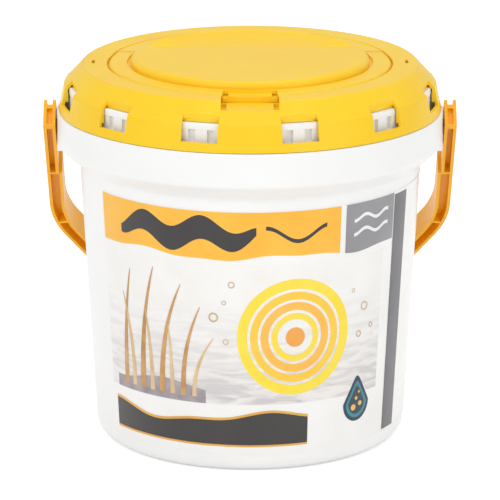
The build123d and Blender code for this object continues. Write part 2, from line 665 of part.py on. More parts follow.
# rear part of the raised disc, fixed to the lid: its top is a dish that falls towards the hinge
with BuildPart() as rear_crescent:
    crescent_low_z = RING_Z - RING_T
    dish_mid = ((DECK_Y + DISH_R) / 2, (DISH_LOW_Z + DISH_RIM_Z) / 2 - DISH_SAG)
    round_mid = (DISC_R - DISC_ROUND * (1 - sin(radians(45))), DISC_Z - DISC_ROUND * (1 - sin(radians(45))))
    with BuildSketch(Plane.XZ):
        with BuildLine():
            Polyline((DISH_R, DISH_RIM_Z), (DISC_R - DISC_ROUND, DISC_Z))
            ThreePointArc((DISC_R - DISC_ROUND, DISC_Z), round_mid, (DISC_R, DISC_Z - DISC_ROUND))
            Polyline(
                (DISC_R, DISC_Z - DISC_ROUND),
                (DISC_R, crescent_low_z),
                (DECK_Y, crescent_low_z),
                (DECK_Y, DISH_LOW_Z),
            )
            ThreePointArc((DECK_Y, DISH_LOW_Z), dish_mid, (DISH_R, DISH_RIM_Z))
        make_face()
    revolve(axis=Axis.Z)
    block((-DISC_R, DISC_R), (DECK_Y, DISC_R + 1), (crescent_low_z, DISC_Z + 1), Mode.INTERSECT)
    # room for the rear edge of the door as it swings up, and a ramp from there to the top
    with BuildSketch(Plane.YZ):
        with BuildLine():
            Polyline(
                (HINGE_Y, RING_Z),
                (HINGE_Y + SWING_R, RING_Z),
                (HINGE_Y + SWING_R + SWING_RAMP, DISC_Z),
                (HINGE_Y, DISC_Z),
                close=True,
            )
        make_face()
    extrude(amount=DISC_R, both=True, mode=Mode.SUBTRACT)

# walls and floor of the finger notch, under the skin of the ring and cone
with BuildPart() as notch_box:
    notch_low_z = NOTCH_FLOOR_Z - NOTCH_FLOOR_T
    with BuildSketch(Plane.XZ):
        with BuildLine():
            Polyline(
                (DOOR_SEAT_R, notch_low_z),
                (line_at(CONE_LOW, CONE_HIGH, notch_low_z) - WELD, notch_low_z),
                (RING_OUT_R - WELD, RING_Z - WELD),
                (DOOR_SEAT_R, RING_Z - WELD),
                close=True,
            )
        make_face()
    revolve(axis=Axis.Z)
    block((-NOTCH_HALF_W - SKIRT_WALL, NOTCH_HALF_W + SKIRT_WALL), (-SKIRT_TOP_R, 0),
          (notch_low_z, RING_Z), Mode.INTERSECT)

with BuildPart() as lid:
    # skirt, cone and ring, and the wall round the door's opening
    with BuildSketch(Plane.XZ) as lid_profile:
        with BuildLine():
            Polyline(
                (SKIRT_LOW_R, SKIRT_LOW_Z),
                CONE_LOW,
                CONE_HIGH,
                (DOOR_SEAT_R, RING_Z),
                (DOOR_SEAT_R, LEDGE_LOW_Z),
                (SEAT_OUT_R, LEDGE_LOW_Z),
                (SEAT_OUT_R, RING_Z - RING_T),
                (cone_under(RING_Z - RING_T), RING_Z - RING_T),
                (cone_under(SKIRT_TOP_Z - SKIRT_WALL / 2), SKIRT_TOP_Z - SKIRT_WALL / 2),
                (SKIRT_LOW_R - SKIRT_WALL, SKIRT_LOW_Z),
                close=True,
            )
        make_face()
        fillet(near(lid_profile, *CONE_LOW), SHOULDER_ROUND)
        fillet(near(lid_profile, *CONE_HIGH), RING_ROUND)
        fillet(near(lid_profile, DOOR_SEAT_R, RING_Z), SEAT_EDGE)
        # plug ring inside the neck
        with BuildLine():
            Polyline(
                (PLUG_R - PLUG_T, PLUG_LOW_Z),
                (PLUG_R, PLUG_LOW_Z),
                (PLUG_R, cone_under_z(PLUG_R) + WELD),
                (PLUG_R - PLUG_T, cone_under_z(PLUG_R - PLUG_T) + WELD),
                close=True,
            )
        make_face()
        # stop ring that rests on the bucket's rim; its outer face is the back of the windows
        with BuildLine():
            Polyline(
                (PLUG_R - WELD, LID_STOP_Z),
                (WINDOW_IN_R, LID_STOP_Z),
                (WINDOW_IN_R, cone_under_z(WINDOW_IN_R) + WELD),
                (PLUG_R - WELD, cone_under_z(PLUG_R - WELD) + WELD),
                close=True,
            )
        make_face()
    revolve(axis=Axis.Z)
    # step under the edge of the door, outside its rib
    ring(LEDGE_Z - WELD, DOOR_SEAT_R + WELD, SEAT_RIB_R + SEAT_RIB_T / 2 + SLIDE_GAP,
         DOOR_Z - DOOR_T - FACE_GAP - LEDGE_Z + WELD)
    # ledge under the door
    with BuildSketch(Plane.XY.offset(LEDGE_LOW_Z)):
        Circle(SEAT_OUT_R)
        with Locations((0, DECK_Y + SEAT_WALL)):
            Rectangle(2 * RING_OUT_R, RING_OUT_R, align=(Align.CENTER, Align.MIN), mode=Mode.SUBTRACT)
    extrude(amount=LEDGE_T)
    # deck behind the hinge
    with BuildSketch(Plane.XY.offset(RING_Z - RING_T)):
        Circle(DOOR_SEAT_R + WELD)
        with Locations((0, HINGE_Y + HINGE_DECK_GAP)):
            Rectangle(2 * RING_OUT_R, 2 * RING_OUT_R, align=(Align.CENTER, Align.MAX), mode=Mode.SUBTRACT)
        with Locations((0, DECK_Y)):
            Rectangle(2 * (HINGE_HALF_L + HINGE_SIDE), RING_OUT_R, align=(Align.CENTER, Align.MAX),
                      mode=Mode.SUBTRACT)
    extrude(amount=RING_T)
    # wall from the deck down to the ledge
    with BuildSketch(Plane.XY.offset(LEDGE_LOW_Z)):
        Circle(DOOR_SEAT_R + WELD)
        with Locations((0, DECK_Y + SEAT_WALL / 2)):
            Rectangle(2 * RING_OUT_R, SEAT_WALL, mode=Mode.INTERSECT)
    extrude(amount=RING_Z - WELD - LEDGE_LOW_Z)
    add(rear_crescent.part)
    add(notch_box.part)
    # well for the aerator
    case_prism(-WELL_GAP - WELL_WALL, WELL_FLOOR_Z - WELL_FLOOR_T, LEDGE_Z)
    case_prism(-WELL_GAP, WELL_FLOOR_Z, LEDGE_Z, Mode.SUBTRACT)
    upright(MOTOR_X, NIPPLE_Y, SPIGOT_R + SLIDE_GAP / 2, WELL_FLOOR_Z - 2 * WELL_FLOOR_T, WELL_FLOOR_Z,
            Mode.SUBTRACT)
    # grooves in the deck that carry on the door's two lines
    for groove_in, groove_out in ((DISC_R, DISC_R + GROOVE_W), (DOOR_R, DOOR_SEAT_R + WELD)):
        with BuildSketch(Plane.XY.offset(RING_Z)):
            Circle(groove_out)
            Circle(groove_in, mode=Mode.SUBTRACT)
            with Locations((0, HINGE_Y)):
                Rectangle(2 * RING_OUT_R, 2 * RING_OUT_R, align=(Align.CENTER, Align.MAX), mode=Mode.SUBTRACT)
        extrude(amount=-DECK_GROOVE_D, mode=Mode.SUBTRACT)
    # finger notch, with a deeper slot at each end
    block((-NOTCH_HALF_W, NOTCH_HALF_W), (-SKIRT_LOW_R, SEAT_WALL - DOOR_SEAT_R),
          (NOTCH_FLOOR_Z, RING_Z + 1), Mode.SUBTRACT)
    block((-NOTCH_HALF_W, NOTCH_HALF_W), (-DOOR_SEAT_R, TAB_EDGE_W - DOOR_R),
          (NOTCH_FLOOR_Z - NOTCH_STEP, DOOR_Z), Mode.SUBTRACT)
    for left in (-NOTCH_HALF_W, NOTCH_HALF_W - NOTCH_WELL_W):
        block((left, left + NOTCH_WELL_W), (-NOTCH_OUT_R + SKIRT_WALL, -SEAT_OUT_R),
              (NOTCH_FLOOR_Z - NOTCH_WELL_D, NOTCH_FLOOR_Z), Mode.SUBTRACT)
    # hole for the door's catch
    block((-LATCH_HOLE_L / 2, LATCH_HOLE_L / 2),
          (LATCH_HOLE_Y - LATCH_HOLE_W / 2, LATCH_HOLE_Y + LATCH_HOLE_W / 2),
          (LEDGE_LOW_Z, LEDGE_Z), Mode.SUBTRACT)
    # vent slots in the ring, over the two pivots
    with BuildSketch(Plane.XY.offset(RING_Z)):
        with Locations((-SLOT_R, 0), (SLOT_R, 0)):
            SlotOverall(SLOT_L, SLOT_W, rotation=90)
    extrude(amount=-RING_T, mode=Mode.SUBTRACT)
    # jambs behind the skirt, at both sides of each window
    jamb_out_r = SKIRT_TOP_R - SKIRT_WALL / 2
    with BuildSketch(Plane.XY.offset(SNAP_LOW_Z)):
        with PolarLocations((SNAP_R + jamb_out_r) / 2, WINDOW_COUNT, WINDOW_PITCH / 2 - 90):
            Rectangle(jamb_out_r - SNAP_R, WINDOW_W + 2 * JAMB_T)
    extrude(amount=LID_STOP_Z + WELD - SNAP_LOW_Z)
    # windows through the skirt
    window_depth = SKIRT_LOW_R + SKIRT_WALL - WINDOW_IN_R
    with BuildSketch(Plane.XY.offset(WINDOW_LOW_Z)):
        with PolarLocations(WINDOW_IN_R + window_depth / 2, WINDOW_COUNT, WINDOW_PITCH / 2 - 90):
            Rectangle(window_depth, WINDOW_W)
    extrude(amount=WINDOW_TOP_Z - WINDOW_LOW_Z, mode=Mode.SUBTRACT)
    # snaps that pass under the bucket's rim bead
    snap_out_r = line_at((SKIRT_LOW_R, SKIRT_LOW_Z), CONE_LOW, SNAP_TOP_Z) - SKIRT_WALL / 2
    with BuildSketch(Plane.XY.offset(SNAP_LOW_Z)):
        with PolarLocations((SNAP_R + snap_out_r) / 2, WINDOW_COUNT, -90):
            Rectangle(snap_out_r - SNAP_R, SNAP_W)
    extrude(amount=SNAP_TOP_Z - SNAP_LOW_Z)
    # hinge knuckles, every other one of the barrel
    for k in range(0, KNUCKLE_COUNT, 2):
        left = -HINGE_HALF_L + k * KNUCKLE_PITCH + KNUCKLE_GAP / 2
        right = left + KNUCKLE_PITCH - KNUCKLE_GAP
        along_x(HINGE_Y, HINGE_Z, KNUCKLE_R, left, right)
        block((left, right), (HINGE_Y, DECK_Y + WELD), (HINGE_Z - KNUCKLE_R, HINGE_Z))
    along_x(HINGE_Y, HINGE_Z, HINGE_PIN_R + RUN_FIT, -HINGE_HALF_L - 1, HINGE_HALF_L + 1, Mode.SUBTRACT)
labelled(lid, "lid")

# ================================================================ flip door
with BuildPart() as door_disc:
    with BuildSketch(Plane.XZ):
        with BuildLine():
            Polyline((0, DISC_Z), (DISC_R - DISC_ROUND, DISC_Z))
            ThreePointArc((DISC_R - DISC_ROUND, DISC_Z), round_mid, (DISC_R, DISC_Z - DISC_ROUND))
            Polyline(
                (DISC_R, DISC_Z - DISC_ROUND),
                (DISC_R, DOOR_Z - DOOR_T),
                (0, DOOR_Z - DOOR_T),
                (0, DISC_Z),
            )
        make_face()
    revolve(axis=Axis.Z)
    block((-DISC_R, DISC_R), (-DISC_R, BARREL_FRONT_Y), (DOOR_Z - DOOR_T, DISC_Z), Mode.INTERSECT)

with BuildPart() as flip_door:
    # flat rim with its straight rear edge
    with BuildSketch(Plane.XY.offset(DOOR_Z - DOOR_T)):
        Circle(DOOR_R)
        with Locations((0, HINGE_Y - HINGE_SPLIT)):
            Rectangle(2 * DOOR_R, DOOR_R, align=(Align.CENTER, Align.MIN), mode=Mode.SUBTRACT)
        with Locations((0, BARREL_FRONT_Y)):
            Rectangle(2 * (HINGE_HALF_L + HINGE_SIDE), DOOR_R, align=(Align.CENTER, Align.MIN),
                      mode=Mode.SUBTRACT)
    extrude(amount=DOOR_T)
    fillet(flip_door.edges().group_by(Axis.Z)[-1].filter_by(GeomType.CIRCLE), DOOR_EDGE)
    # rib that stands on the ledge
    with BuildSketch(Plane.XY.offset(LEDGE_Z + FACE_GAP)):
        Circle(SEAT_RIB_R + SEAT_RIB_T / 2)
        Circle(SEAT_RIB_R - SEAT_RIB_T / 2, mode=Mode.SUBTRACT)
        with Locations((0, BARREL_FRONT_Y)):
            Rectangle(2 * DOOR_R, DOOR_R, align=(Align.CENTER, Align.MIN), mode=Mode.SUBTRACT)
        with Locations((0, -DOOR_R)):
            Rectangle(2 * (TAB_HALF_W + TAB_SLIT_W), DOOR_R, mode=Mode.SUBTRACT)
    extrude(amount=DOOR_Z - DOOR_T - LEDGE_Z - FACE_GAP + WELD)
    add(door_disc.part)
    ring(DOOR_Z - GROOVE_D, DISC_R + GROOVE_W, DISC_R, DOOR_T, Mode.SUBTRACT)
    d_prism(DISC_R - DISC_WALL, BARREL_FRONT_Y - DISC_WALL, DISC_WALL / 2,
            DOOR_Z - DOOR_T, DISC_Z - DISC_WALL, Mode.SUBTRACT)
    # finger tab: a thicker front edge between two slits, scooped on top
    with BuildSketch(Plane.XY.offset(TAB_LOW_Z)):
        Circle(DOOR_R)
        with Locations((0, -DOOR_R)):
            Rectangle(2 * (TAB_HALF_W + TAB_SLIT_W), 2 * TAB_EDGE_W, mode=Mode.INTERSECT)
    extrude(amount=DOOR_Z - TAB_SCOOP - TAB_LOW_Z)
    with BuildSketch(Plane.XY.offset(DOOR_Z - DOOR_T - TAB_SCOOP)):
        Circle(DOOR_R)
        with Locations((0, -TAB_IN_R)):
            Rectangle(2 * (TAB_HALF_W + TAB_SLIT_W), DOOR_R, align=(Align.CENTER, Align.MAX),
                      mode=Mode.INTERSECT)
    extrude(amount=DOOR_T)
    block((-TAB_HALF_W, TAB_HALF_W), (-DOOR_R - 1, -TAB_IN_R), (DOOR_Z - TAB_SCOOP, DOOR_Z + 1),
          Mode.SUBTRACT)
    for left in (-TAB_HALF_W - TAB_SLIT_W, TAB_HALF_W):
        block((left, left + TAB_SLIT_W), (-DOOR_R - 1, -TAB_IN_R), (DOOR_Z - TAB_SLIT_D, DOOR_Z + 1),
              Mode.SUBTRACT)
    # catch that drops into the ledge's hole
    catch_low_z = DOOR_Z - DOOR_T - CATCH_LEN
    block((-CATCH_W / 2, CATCH_W / 2), (LATCH_HOLE_Y - CATCH_T / 2, LATCH_HOLE_Y + CATCH_T / 2),
          (catch_low_z, DOOR_Z - TAB_SCOOP - WELD))
    block((-CATCH_W / 2, CATCH_W / 2), (LATCH_HOLE_Y - CATCH_T / 2 - CATCH_BARB, LATCH_HOLE_Y),
          (catch_low_z, LEDGE_LOW_Z - FACE_GAP))
    # knuckles between the lid's
    for k in range(1, KNUCKLE_COUNT, 2):
        left = -HINGE_HALF_L + k * KNUCKLE_PITCH + KNUCKLE_GAP / 2
        right = left + KNUCKLE_PITCH - KNUCKLE_GAP
        along_x(HINGE_Y, HINGE_Z, KNUCKLE_R, left, right)
        block((left, right), (BARREL_FRONT_Y - WELD, HINGE_Y), (DOOR_Z - DOOR_T, HINGE_Z + HINGE_WEB_H))
    along_x(HINGE_Y, HINGE_Z, HINGE_PIN_R + RUN_FIT, -HINGE_HALF_L, HINGE_HALF_L, Mode.SUBTRACT)
labelled(flip_door, "flip_door")

with BuildPart() as hinge_pin:
    along_x(HINGE_Y, HINGE_Z, HINGE_PIN_R, -HINGE_HALF_L, HINGE_HALF_L)
    along_x(HINGE_Y, HINGE_Z, HINGE_PIN_HEAD_R, HINGE_HALF_L, HINGE_HALF_L + HINGE_PIN_HEAD_T)
labelled(hinge_pin, "hinge_pin")

# ================================================================ aerator case
CASE_BOSSES = [
    (side * x, y)
    for x, y in (CASE_BOSS_REAR, CASE_BOSS_FRONT)
    for side in (-1, 1)
]
SHELF_Z = TOP_CASE_LOW_Z + CASE_SCREW_BITE - CASE_SCREW_LEN     # where the case screws' heads bear
CLAMP_SCREW_DX = CLAMP_OUT_R + CLAMP_FOOT / 2

with BuildPart() as aerator_lower_case:
    case_prism(0, WELL_FLOOR_Z, CASE_SPLIT_Z)
    case_prism(CASE_WALL, CASE_FLOOR_Z, CASE_SPLIT_Z, Mode.SUBTRACT)
    # walls behind the contacts and beside the cells
    front_wall_y = BRIDGE_Y - CONTACT_T - CONTACT_PAD
    block((-PARTITION_X, PARTITION_X), (CASE_REAR_Y - CONTACT_PAD, CASE_REAR_Y + WELD),
          (CASE_FLOOR_Z - WELD, CONTACT_TOP_Z))
    block((-PARTITION_X - WELD, PARTITION_X + WELD), (front_wall_y, front_wall_y + CONTACT_PAD),
          (CASE_FLOOR_Z - WELD, CONTACT_TOP_Z))
    for left in (-PARTITION_X - PARTITION_T, PARTITION_X):
        block((left, left + PARTITION_T), (front_wall_y, CASE_REAR_Y + WELD),
              (CASE_FLOOR_Z - WELD, CASE_SPLIT_Z - PARTITION_LOW))
    # saddles under the cells
    for saddle_y in (BRIDGE_Y + SPRING_LEN + SADDLE_INSET, CONTACT_REAR_Y - SPRING_LEN - SADDLE_INSET):
        block((-PARTITION_X - WELD, PARTITION_X + WELD), (saddle_y - SADDLE_T / 2, saddle_y + SADDLE_T / 2),
              (CASE_FLOOR_Z - WELD, CASE_FLOOR_Z + SADDLE_H))
    for cell_x in (-CELL_X, CELL_X):
        along_y(cell_x, CELL_Z, CELL_R + FACE_GAP / 2, BRIDGE_Y, CONTACT_REAR_Y, Mode.SUBTRACT)
    # post under the switch
    square_block(SWITCH_X, SWITCH_Y, POST_SIZE, CASE_FLOOR_Z - WELD, SWITCH_TOP_Z - SWITCH_H)
    square_block(SWITCH_X, SWITCH_Y, POST_SIZE - 2 * POST_WALL, CASE_FLOOR_Z, SWITCH_TOP_Z - SWITCH_H,
                 Mode.SUBTRACT)
    # saddle under the motor, with a tunnel for the air tube and holes for the clamp's screws
    block((MOTOR_X - CLAMP_OUT_R - CLAMP_FOOT, MOTOR_X + CLAMP_OUT_R + CLAMP_FOOT),
          (CLAMP_Y - CLAMP_W / 2, CLAMP_Y + CLAMP_W / 2), (CASE_FLOOR_Z - WELD, CLAMP_FOOT_Z))
    along_y(MOTOR_X, MOTOR_Z, CLAMP_IN_R, CLAMP_Y - CLAMP_W, CLAMP_Y + CLAMP_W, Mode.SUBTRACT)
    along_y(MOTOR_X, TUBE_Z, TUBE_R + 2 * SLIDE_GAP, CLAMP_Y - CLAMP_W, CLAMP_Y + CLAMP_W, Mode.SUBTRACT)
    for side in (-1, 1):
        upright(MOTOR_X + side * CLAMP_SCREW_DX, CLAMP_Y, CLAMP_SCREW_R + RUN_FIT,
                CLAMP_FOOT_Z - CLAMP_SCREW_LEN, CLAMP_FOOT_Z, Mode.SUBTRACT)
    # bosses for the case screws, bored from below
    for x, y in CASE_BOSSES:
        upright(x, y, CASE_BOSS_R, CASE_FLOOR_Z - WELD, CASE_SPLIT_Z)
        upright(x, y, CASE_SCREW_HEAD_R + RUN_FIT, WELL_FLOOR_Z, SHELF_Z, Mode.SUBTRACT)
        upright(x, y, CASE_SCREW_R + RUN_FIT, SHELF_Z, CASE_SPLIT_Z, Mode.SUBTRACT)
    upright(MOTOR_X, NIPPLE_Y, SPIGOT_R + RUN_FIT, WELL_FLOOR_Z, CASE_FLOOR_Z, Mode.SUBTRACT)
labelled(aerator_lower_case, "aerator_lower_case")

with BuildPart() as case_seal:
    case_prism(SEAL_INSET, CASE_SPLIT_Z, TOP_CASE_LOW_Z)
    case_prism(CASE_WALL, CASE_SPLIT_Z, TOP_CASE_LOW_Z, Mode.SUBTRACT)
labelled(case_seal, "case_seal")

with BuildPart() as aerator_top_case:
    case_prism(0, TOP_CASE_LOW_Z, CASE_TOP_Z)
    fillet(aerator_top_case.edges().group_by(Axis.Z)[-1], CASE_TOP_ROUND)
    case_prism(CASE_WALL, TOP_CASE_LOW_Z, CASE_CEILING_Z, Mode.SUBTRACT)
    for x, y in CASE_BOSSES:
        upright(x, y, CASE_BOSS_R, TOP_CASE_LOW_Z, CASE_CEILING_Z + WELD)
        upright(x, y, CASE_SCREW_R + RUN_FIT, TOP_CASE_LOW_Z, TOP_CASE_LOW_Z + CASE_SCREW_BITE + FACE_GAP,
                Mode.SUBTRACT)
    square_block(SWITCH_X, SWITCH_Y, BUTTON_SIZE + 2 * SLIDE_GAP, CASE_CEILING_Z, CASE_TOP_Z, Mode.SUBTRACT)
labelled(aerator_top_case, "aerator_top_case")

with BuildPart() as case_screws:
    for x, y in CASE_BOSSES:
        upright(x, y, CASE_SCREW_HEAD_R, SHELF_Z - CASE_SCREW_HEAD_T, SHELF_Z)
        upright(x, y, CASE_SCREW_R, SHELF_Z, SHELF_Z + CASE_SCREW_LEN)
labelled(case_screws, "case_screws")

# ================================================================ cells and contacts
# the left cell points to the rear and the right cell to the front, so a spring presses each one's flat end
for label, cell_x, body_front_y, nub_y in (
    ("battery_left", -CELL_X, CONTACT_REAR_Y - CELL_NUB - CELL_LEN, CONTACT_REAR_Y - CELL_NUB),
    ("battery_right", CELL_X, BRIDGE_Y + CELL_NUB, BRIDGE_Y),
):
    with BuildPart() as battery:
        along_y(cell_x, CELL_Z, CELL_R, body_front_y, body_front_y + CELL_LEN)
        fillet(battery.edges(), FACE_GAP)
        along_y(cell_x, CELL_Z, CELL_NUB_R, nub_y, nub_y + CELL_NUB)
    labelled(battery, label)

with BuildPart() as contact_bridge:
    block((-CELL_X - CONTACT_W / 2, CELL_X + CONTACT_W / 2), (BRIDGE_Y - CONTACT_T, BRIDGE_Y),
          (CELL_Z - CONTACT_H / 2, CONTACT_TOP_Z))
labelled(contact_bridge, "contact_bridge")

for label, cell_x in (("contact_positive", -CELL_X), ("contact_negative", CELL_X)):
    with BuildPart() as contact:
        block((cell_x - CONTACT_W / 2, cell_x + CONTACT_W / 2), (CONTACT_REAR_Y, CONTACT_REAR_Y + CONTACT_T),
              (CELL_Z - CONTACT_H / 2, CONTACT_TOP_Z))
    labelled(contact, label)

with BuildPart() as battery_springs:
    coil_rise = SPRING_LEN - 2 * SPRING_WIRE_R
    for coil_x, spring_front_y in ((-CELL_X, BRIDGE_Y), (CELL_X, CONTACT_REAR_Y - SPRING_LEN)):
        with BuildLine() as coil:
            Helix(coil_rise / SPRING_TURNS, coil_rise, SPRING_R,
                  center=(coil_x, spring_front_y + SPRING_WIRE_R, CELL_Z), direction=(0, 1, 0))
        with BuildSketch(Plane(coil.line @ 0, z_dir=coil.line % 0)) as wire:
            Circle(SPRING_WIRE_R)
        sweep(wire.sketch, path=coil.line, is_frenet=True)
labelled(battery_springs, "battery_springs")

# ================================================================ switch
with BuildPart() as power_switch:
    square_block(SWITCH_X, SWITCH_Y, SWITCH_SIZE, SWITCH_TOP_Z - SWITCH_H, SWITCH_TOP_Z)
    upright(SWITCH_X, SWITCH_Y, SWITCH_STEM_R + SLIDE_GAP, SWITCH_TOP_Z - STEM_BITE - 2 * SWITCH_TRAVEL,
            SWITCH_TOP_Z, Mode.SUBTRACT)
labelled(power_switch, "power_switch")

with BuildPart() as switch_button:
    square_block(SWITCH_X, SWITCH_Y, BUTTON_SIZE, BUTTON_LOW_Z, CASE_TOP_Z + BUTTON_PROUD)
    fillet(switch_button.edges().group_by(Axis.Z)[-1], BUTTON_ROUND)
    square_block(SWITCH_X, SWITCH_Y, BUTTON_SIZE + 2 * BUTTON_FLANGE, BUTTON_LOW_Z,
                 BUTTON_LOW_Z + BUTTON_FLANGE_T)
    upright(SWITCH_X, SWITCH_Y, SWITCH_STEM_R, SWITCH_TOP_Z - STEM_BITE, BUTTON_LOW_Z + WELD)
labelled(switch_button, "switch_button")

# ================================================================ motor
with BuildPart() as motor_can:
    along_y(MOTOR_X, MOTOR_Z, MOTOR_R, CAN_FRONT_Y, CAN_REAR_Y)
    along_y(MOTOR_X, MOTOR_Z, MOTOR_BOSS_R, BOSS_FRONT_Y, CAN_FRONT_Y)
    along_y(MOTOR_X, MOTOR_Z, SHAFT_R + RUN_FIT, BOSS_FRONT_Y, CAN_FRONT_Y + SHAFT_IN + FACE_GAP,
            Mode.SUBTRACT)
labelled(motor_can, "motor_can")

with BuildPart() as motor_end_cap:
    along_y(MOTOR_X, MOTOR_Z, MOTOR_R - SLIDE_GAP, CAN_REAR_Y, MOTOR_REAR_Y)
labelled(motor_end_cap, "motor_end_cap")

with BuildPart() as motor_shaft:
    along_y(MOTOR_X, MOTOR_Z, SHAFT_R, PUMP_Y - CRANK_T / 2, CAN_FRONT_Y + SHAFT_IN)
labelled(motor_shaft, "motor_shaft")

with BuildPart() as crank:
    along_y(MOTOR_X + CRANK_OFFSET, MOTOR_Z, CRANK_R, PUMP_Y - CRANK_T / 2, PUMP_Y + CRANK_T / 2)
    along_y(MOTOR_X, MOTOR_Z, SHAFT_R + RUN_FIT, PUMP_Y - CRANK_T, PUMP_Y + CRANK_T, Mode.SUBTRACT)
labelled(crank, "crank")

with BuildPart() as motor_clamp:
    with BuildSketch(Plane.XZ.offset(-CLAMP_Y)):
        with Locations((MOTOR_X, MOTOR_Z)):
            Circle(CLAMP_OUT_R)
        with Locations((MOTOR_X, CLAMP_FOOT_Z)):
            Rectangle(2 * CLAMP_OUT_R, MOTOR_Z - CLAMP_FOOT_Z, align=(Align.CENTER, Align.MIN))
            Rectangle(2 * (CLAMP_OUT_R + CLAMP_FOOT), CLAMP_T, align=(Align.CENTER, Align.MIN))
            Rectangle(2 * CLAMP_OUT_R, CLAMP_OUT_R, align=(Align.CENTER, Align.MAX), mode=Mode.SUBTRACT)
            Rectangle(2 * CLAMP_IN_R, MOTOR_Z - CLAMP_FOOT_Z, align=(Align.CENTER, Align.MIN),
                      mode=Mode.SUBTRACT)
        with Locations((MOTOR_X, MOTOR_Z)):
            Circle(CLAMP_IN_R, mode=Mode.SUBTRACT)
    extrude(amount=CLAMP_W / 2, both=True)
    for side in (-1, 1):
        upright(MOTOR_X + side * CLAMP_SCREW_DX, CLAMP_Y, CLAMP_SCREW_R + RUN_FIT, CLAMP_FOOT_Z,
                CLAMP_FOOT_Z + CLAMP_T, Mode.SUBTRACT)
labelled(motor_clamp, "motor_clamp")

with BuildPart() as clamp_screws:
    clamp_top_z = CLAMP_FOOT_Z + CLAMP_T
    for side in (-1, 1):
        screw_x = MOTOR_X + side * CLAMP_SCREW_DX
        upright(screw_x, CLAMP_Y, CLAMP_SCREW_R, clamp_top_z - CLAMP_SCREW_LEN, clamp_top_z)
        upright(screw_x, CLAMP_Y, CLAMP_HEAD_R, clamp_top_z, clamp_top_z + CLAMP_HEAD_T)
labelled(clamp_screws, "clamp_screws")

# ================================================================ pump
with BuildPart() as pump_body:
    upright(MOTOR_X, PUMP_Y, PUMP_R, CASE_FLOOR_Z, PUMP_TOP_Z)
    along_y(MOTOR_X, TUBE_Z, TUBE_BORE_R - RUN_FIT, PUMP_Y, PUMP_Y + PUMP_R + BARB_LEN)
    upright(MOTOR_X, PUMP_Y, PUMP_R - PUMP_WALL, CASE_FLOOR_Z + PUMP_WALL, PUMP_TOP_Z, Mode.SUBTRACT)
    along_y(MOTOR_X, TUBE_Z, BARB_BORE_R, PUMP_Y, PUMP_Y + PUMP_R + BARB_LEN, Mode.SUBTRACT)
labelled(pump_body, "pump_body")

with BuildPart() as pump_cap:
    with BuildSketch(Plane.XY.offset(PUMP_TOP_Z)):
        with Locations((MOTOR_X, PUMP_Y)):
            Circle(PUMP_R)
            Circle(DIAPHRAGM_R + FACE_GAP, mode=Mode.SUBTRACT)
    extrude(amount=PUMP_CAP_T)
labelled(pump_cap, "pump_cap")

with BuildPart() as pump_diaphragm:
    # a thin bell: its rim lies on the pump's wall and its top meets the rod's foot
    with BuildSketch(Plane((MOTOR_X, PUMP_Y, PUMP_TOP_Z), x_dir=(1, 0, 0), z_dir=(0, -1, 0))):
        with BuildLine():
            Polyline(
                (DIAPHRAGM_R, 0),
                (DIAPHRAGM_R, DIAPHRAGM_T),
                (DIAPHRAGM_TOP_R, DIAPHRAGM_H),
                (0, DIAPHRAGM_H),
                (0, DIAPHRAGM_H - DIAPHRAGM_T),
                (DIAPHRAGM_TOP_R - DIAPHRAGM_T, DIAPHRAGM_H - DIAPHRAGM_T),
                (DIAPHRAGM_R - 2 * DIAPHRAGM_T, 0),
                close=True,
            )
        make_face()
    revolve(axis=Axis((MOTOR_X, PUMP_Y, 0), (0, 0, 1)))
labelled(pump_diaphragm, "pump_diaphragm")

with BuildPart() as connecting_rod:
    with BuildSketch(Plane.XZ.offset(-PUMP_Y)):
        with Locations((MOTOR_X, MOTOR_Z)):
            Rectangle(2 * (YOKE_X + ROD_WALL), 2 * (YOKE_Z + ROD_WALL))
            Rectangle(2 * YOKE_X, 2 * YOKE_Z, mode=Mode.SUBTRACT)
    extrude(amount=ROD_T / 2, both=True)
    upright(MOTOR_X, PUMP_Y, ROD_STEM_R, ROD_FOOT_Z, MOTOR_Z - YOKE_Z - ROD_WALL + WELD)
    upright(MOTOR_X, PUMP_Y, ROD_FOOT_R, ROD_FOOT_Z, ROD_FOOT_Z + ROD_FOOT_T)
labelled(connecting_rod, "connecting_rod")

with BuildPart() as internal_air_tube:
    tube_front_y = PUMP_Y + PUMP_R + FACE_GAP
    tube_rear_y = NIPPLE_Y - SPIGOT_R - FACE_GAP
    along_y(MOTOR_X, TUBE_Z, TUBE_R, tube_front_y, tube_rear_y)
    along_y(MOTOR_X, TUBE_Z, TUBE_BORE_R, tube_front_y, tube_rear_y, Mode.SUBTRACT)
labelled(internal_air_tube, "internal_air_tube")

with BuildPart() as air_outlet_nipple:
    nipple_low_z = WELL_FLOOR_Z - WELL_FLOOR_T - NIPPLE_LEN
    upright(MOTOR_X, NIPPLE_Y, SPIGOT_R, WELL_FLOOR_Z - WELL_FLOOR_T, TUBE_Z + SPIGOT_R)
    upright(MOTOR_X, NIPPLE_Y, SPIGOT_FLANGE_R, CASE_FLOOR_Z, CASE_FLOOR_Z + SPIGOT_FLANGE_T)
    upright(MOTOR_X, NIPPLE_Y, NIPPLE_R, nipple_low_z, WELL_FLOOR_Z)
    along_y(MOTOR_X, TUBE_Z, TUBE_BORE_R - RUN_FIT, NIPPLE_Y - SPIGOT_R - BARB_LEN, NIPPLE_Y)
    along_y(MOTOR_X, TUBE_Z, BARB_BORE_R, NIPPLE_Y - SPIGOT_R - BARB_LEN, NIPPLE_Y, Mode.SUBTRACT)
    upright(MOTOR_X, NIPPLE_Y, NIPPLE_BORE_R, nipple_low_z, TUBE_Z, Mode.SUBTRACT)
labelled(air_outlet_nipple, "air_outlet_nipple")

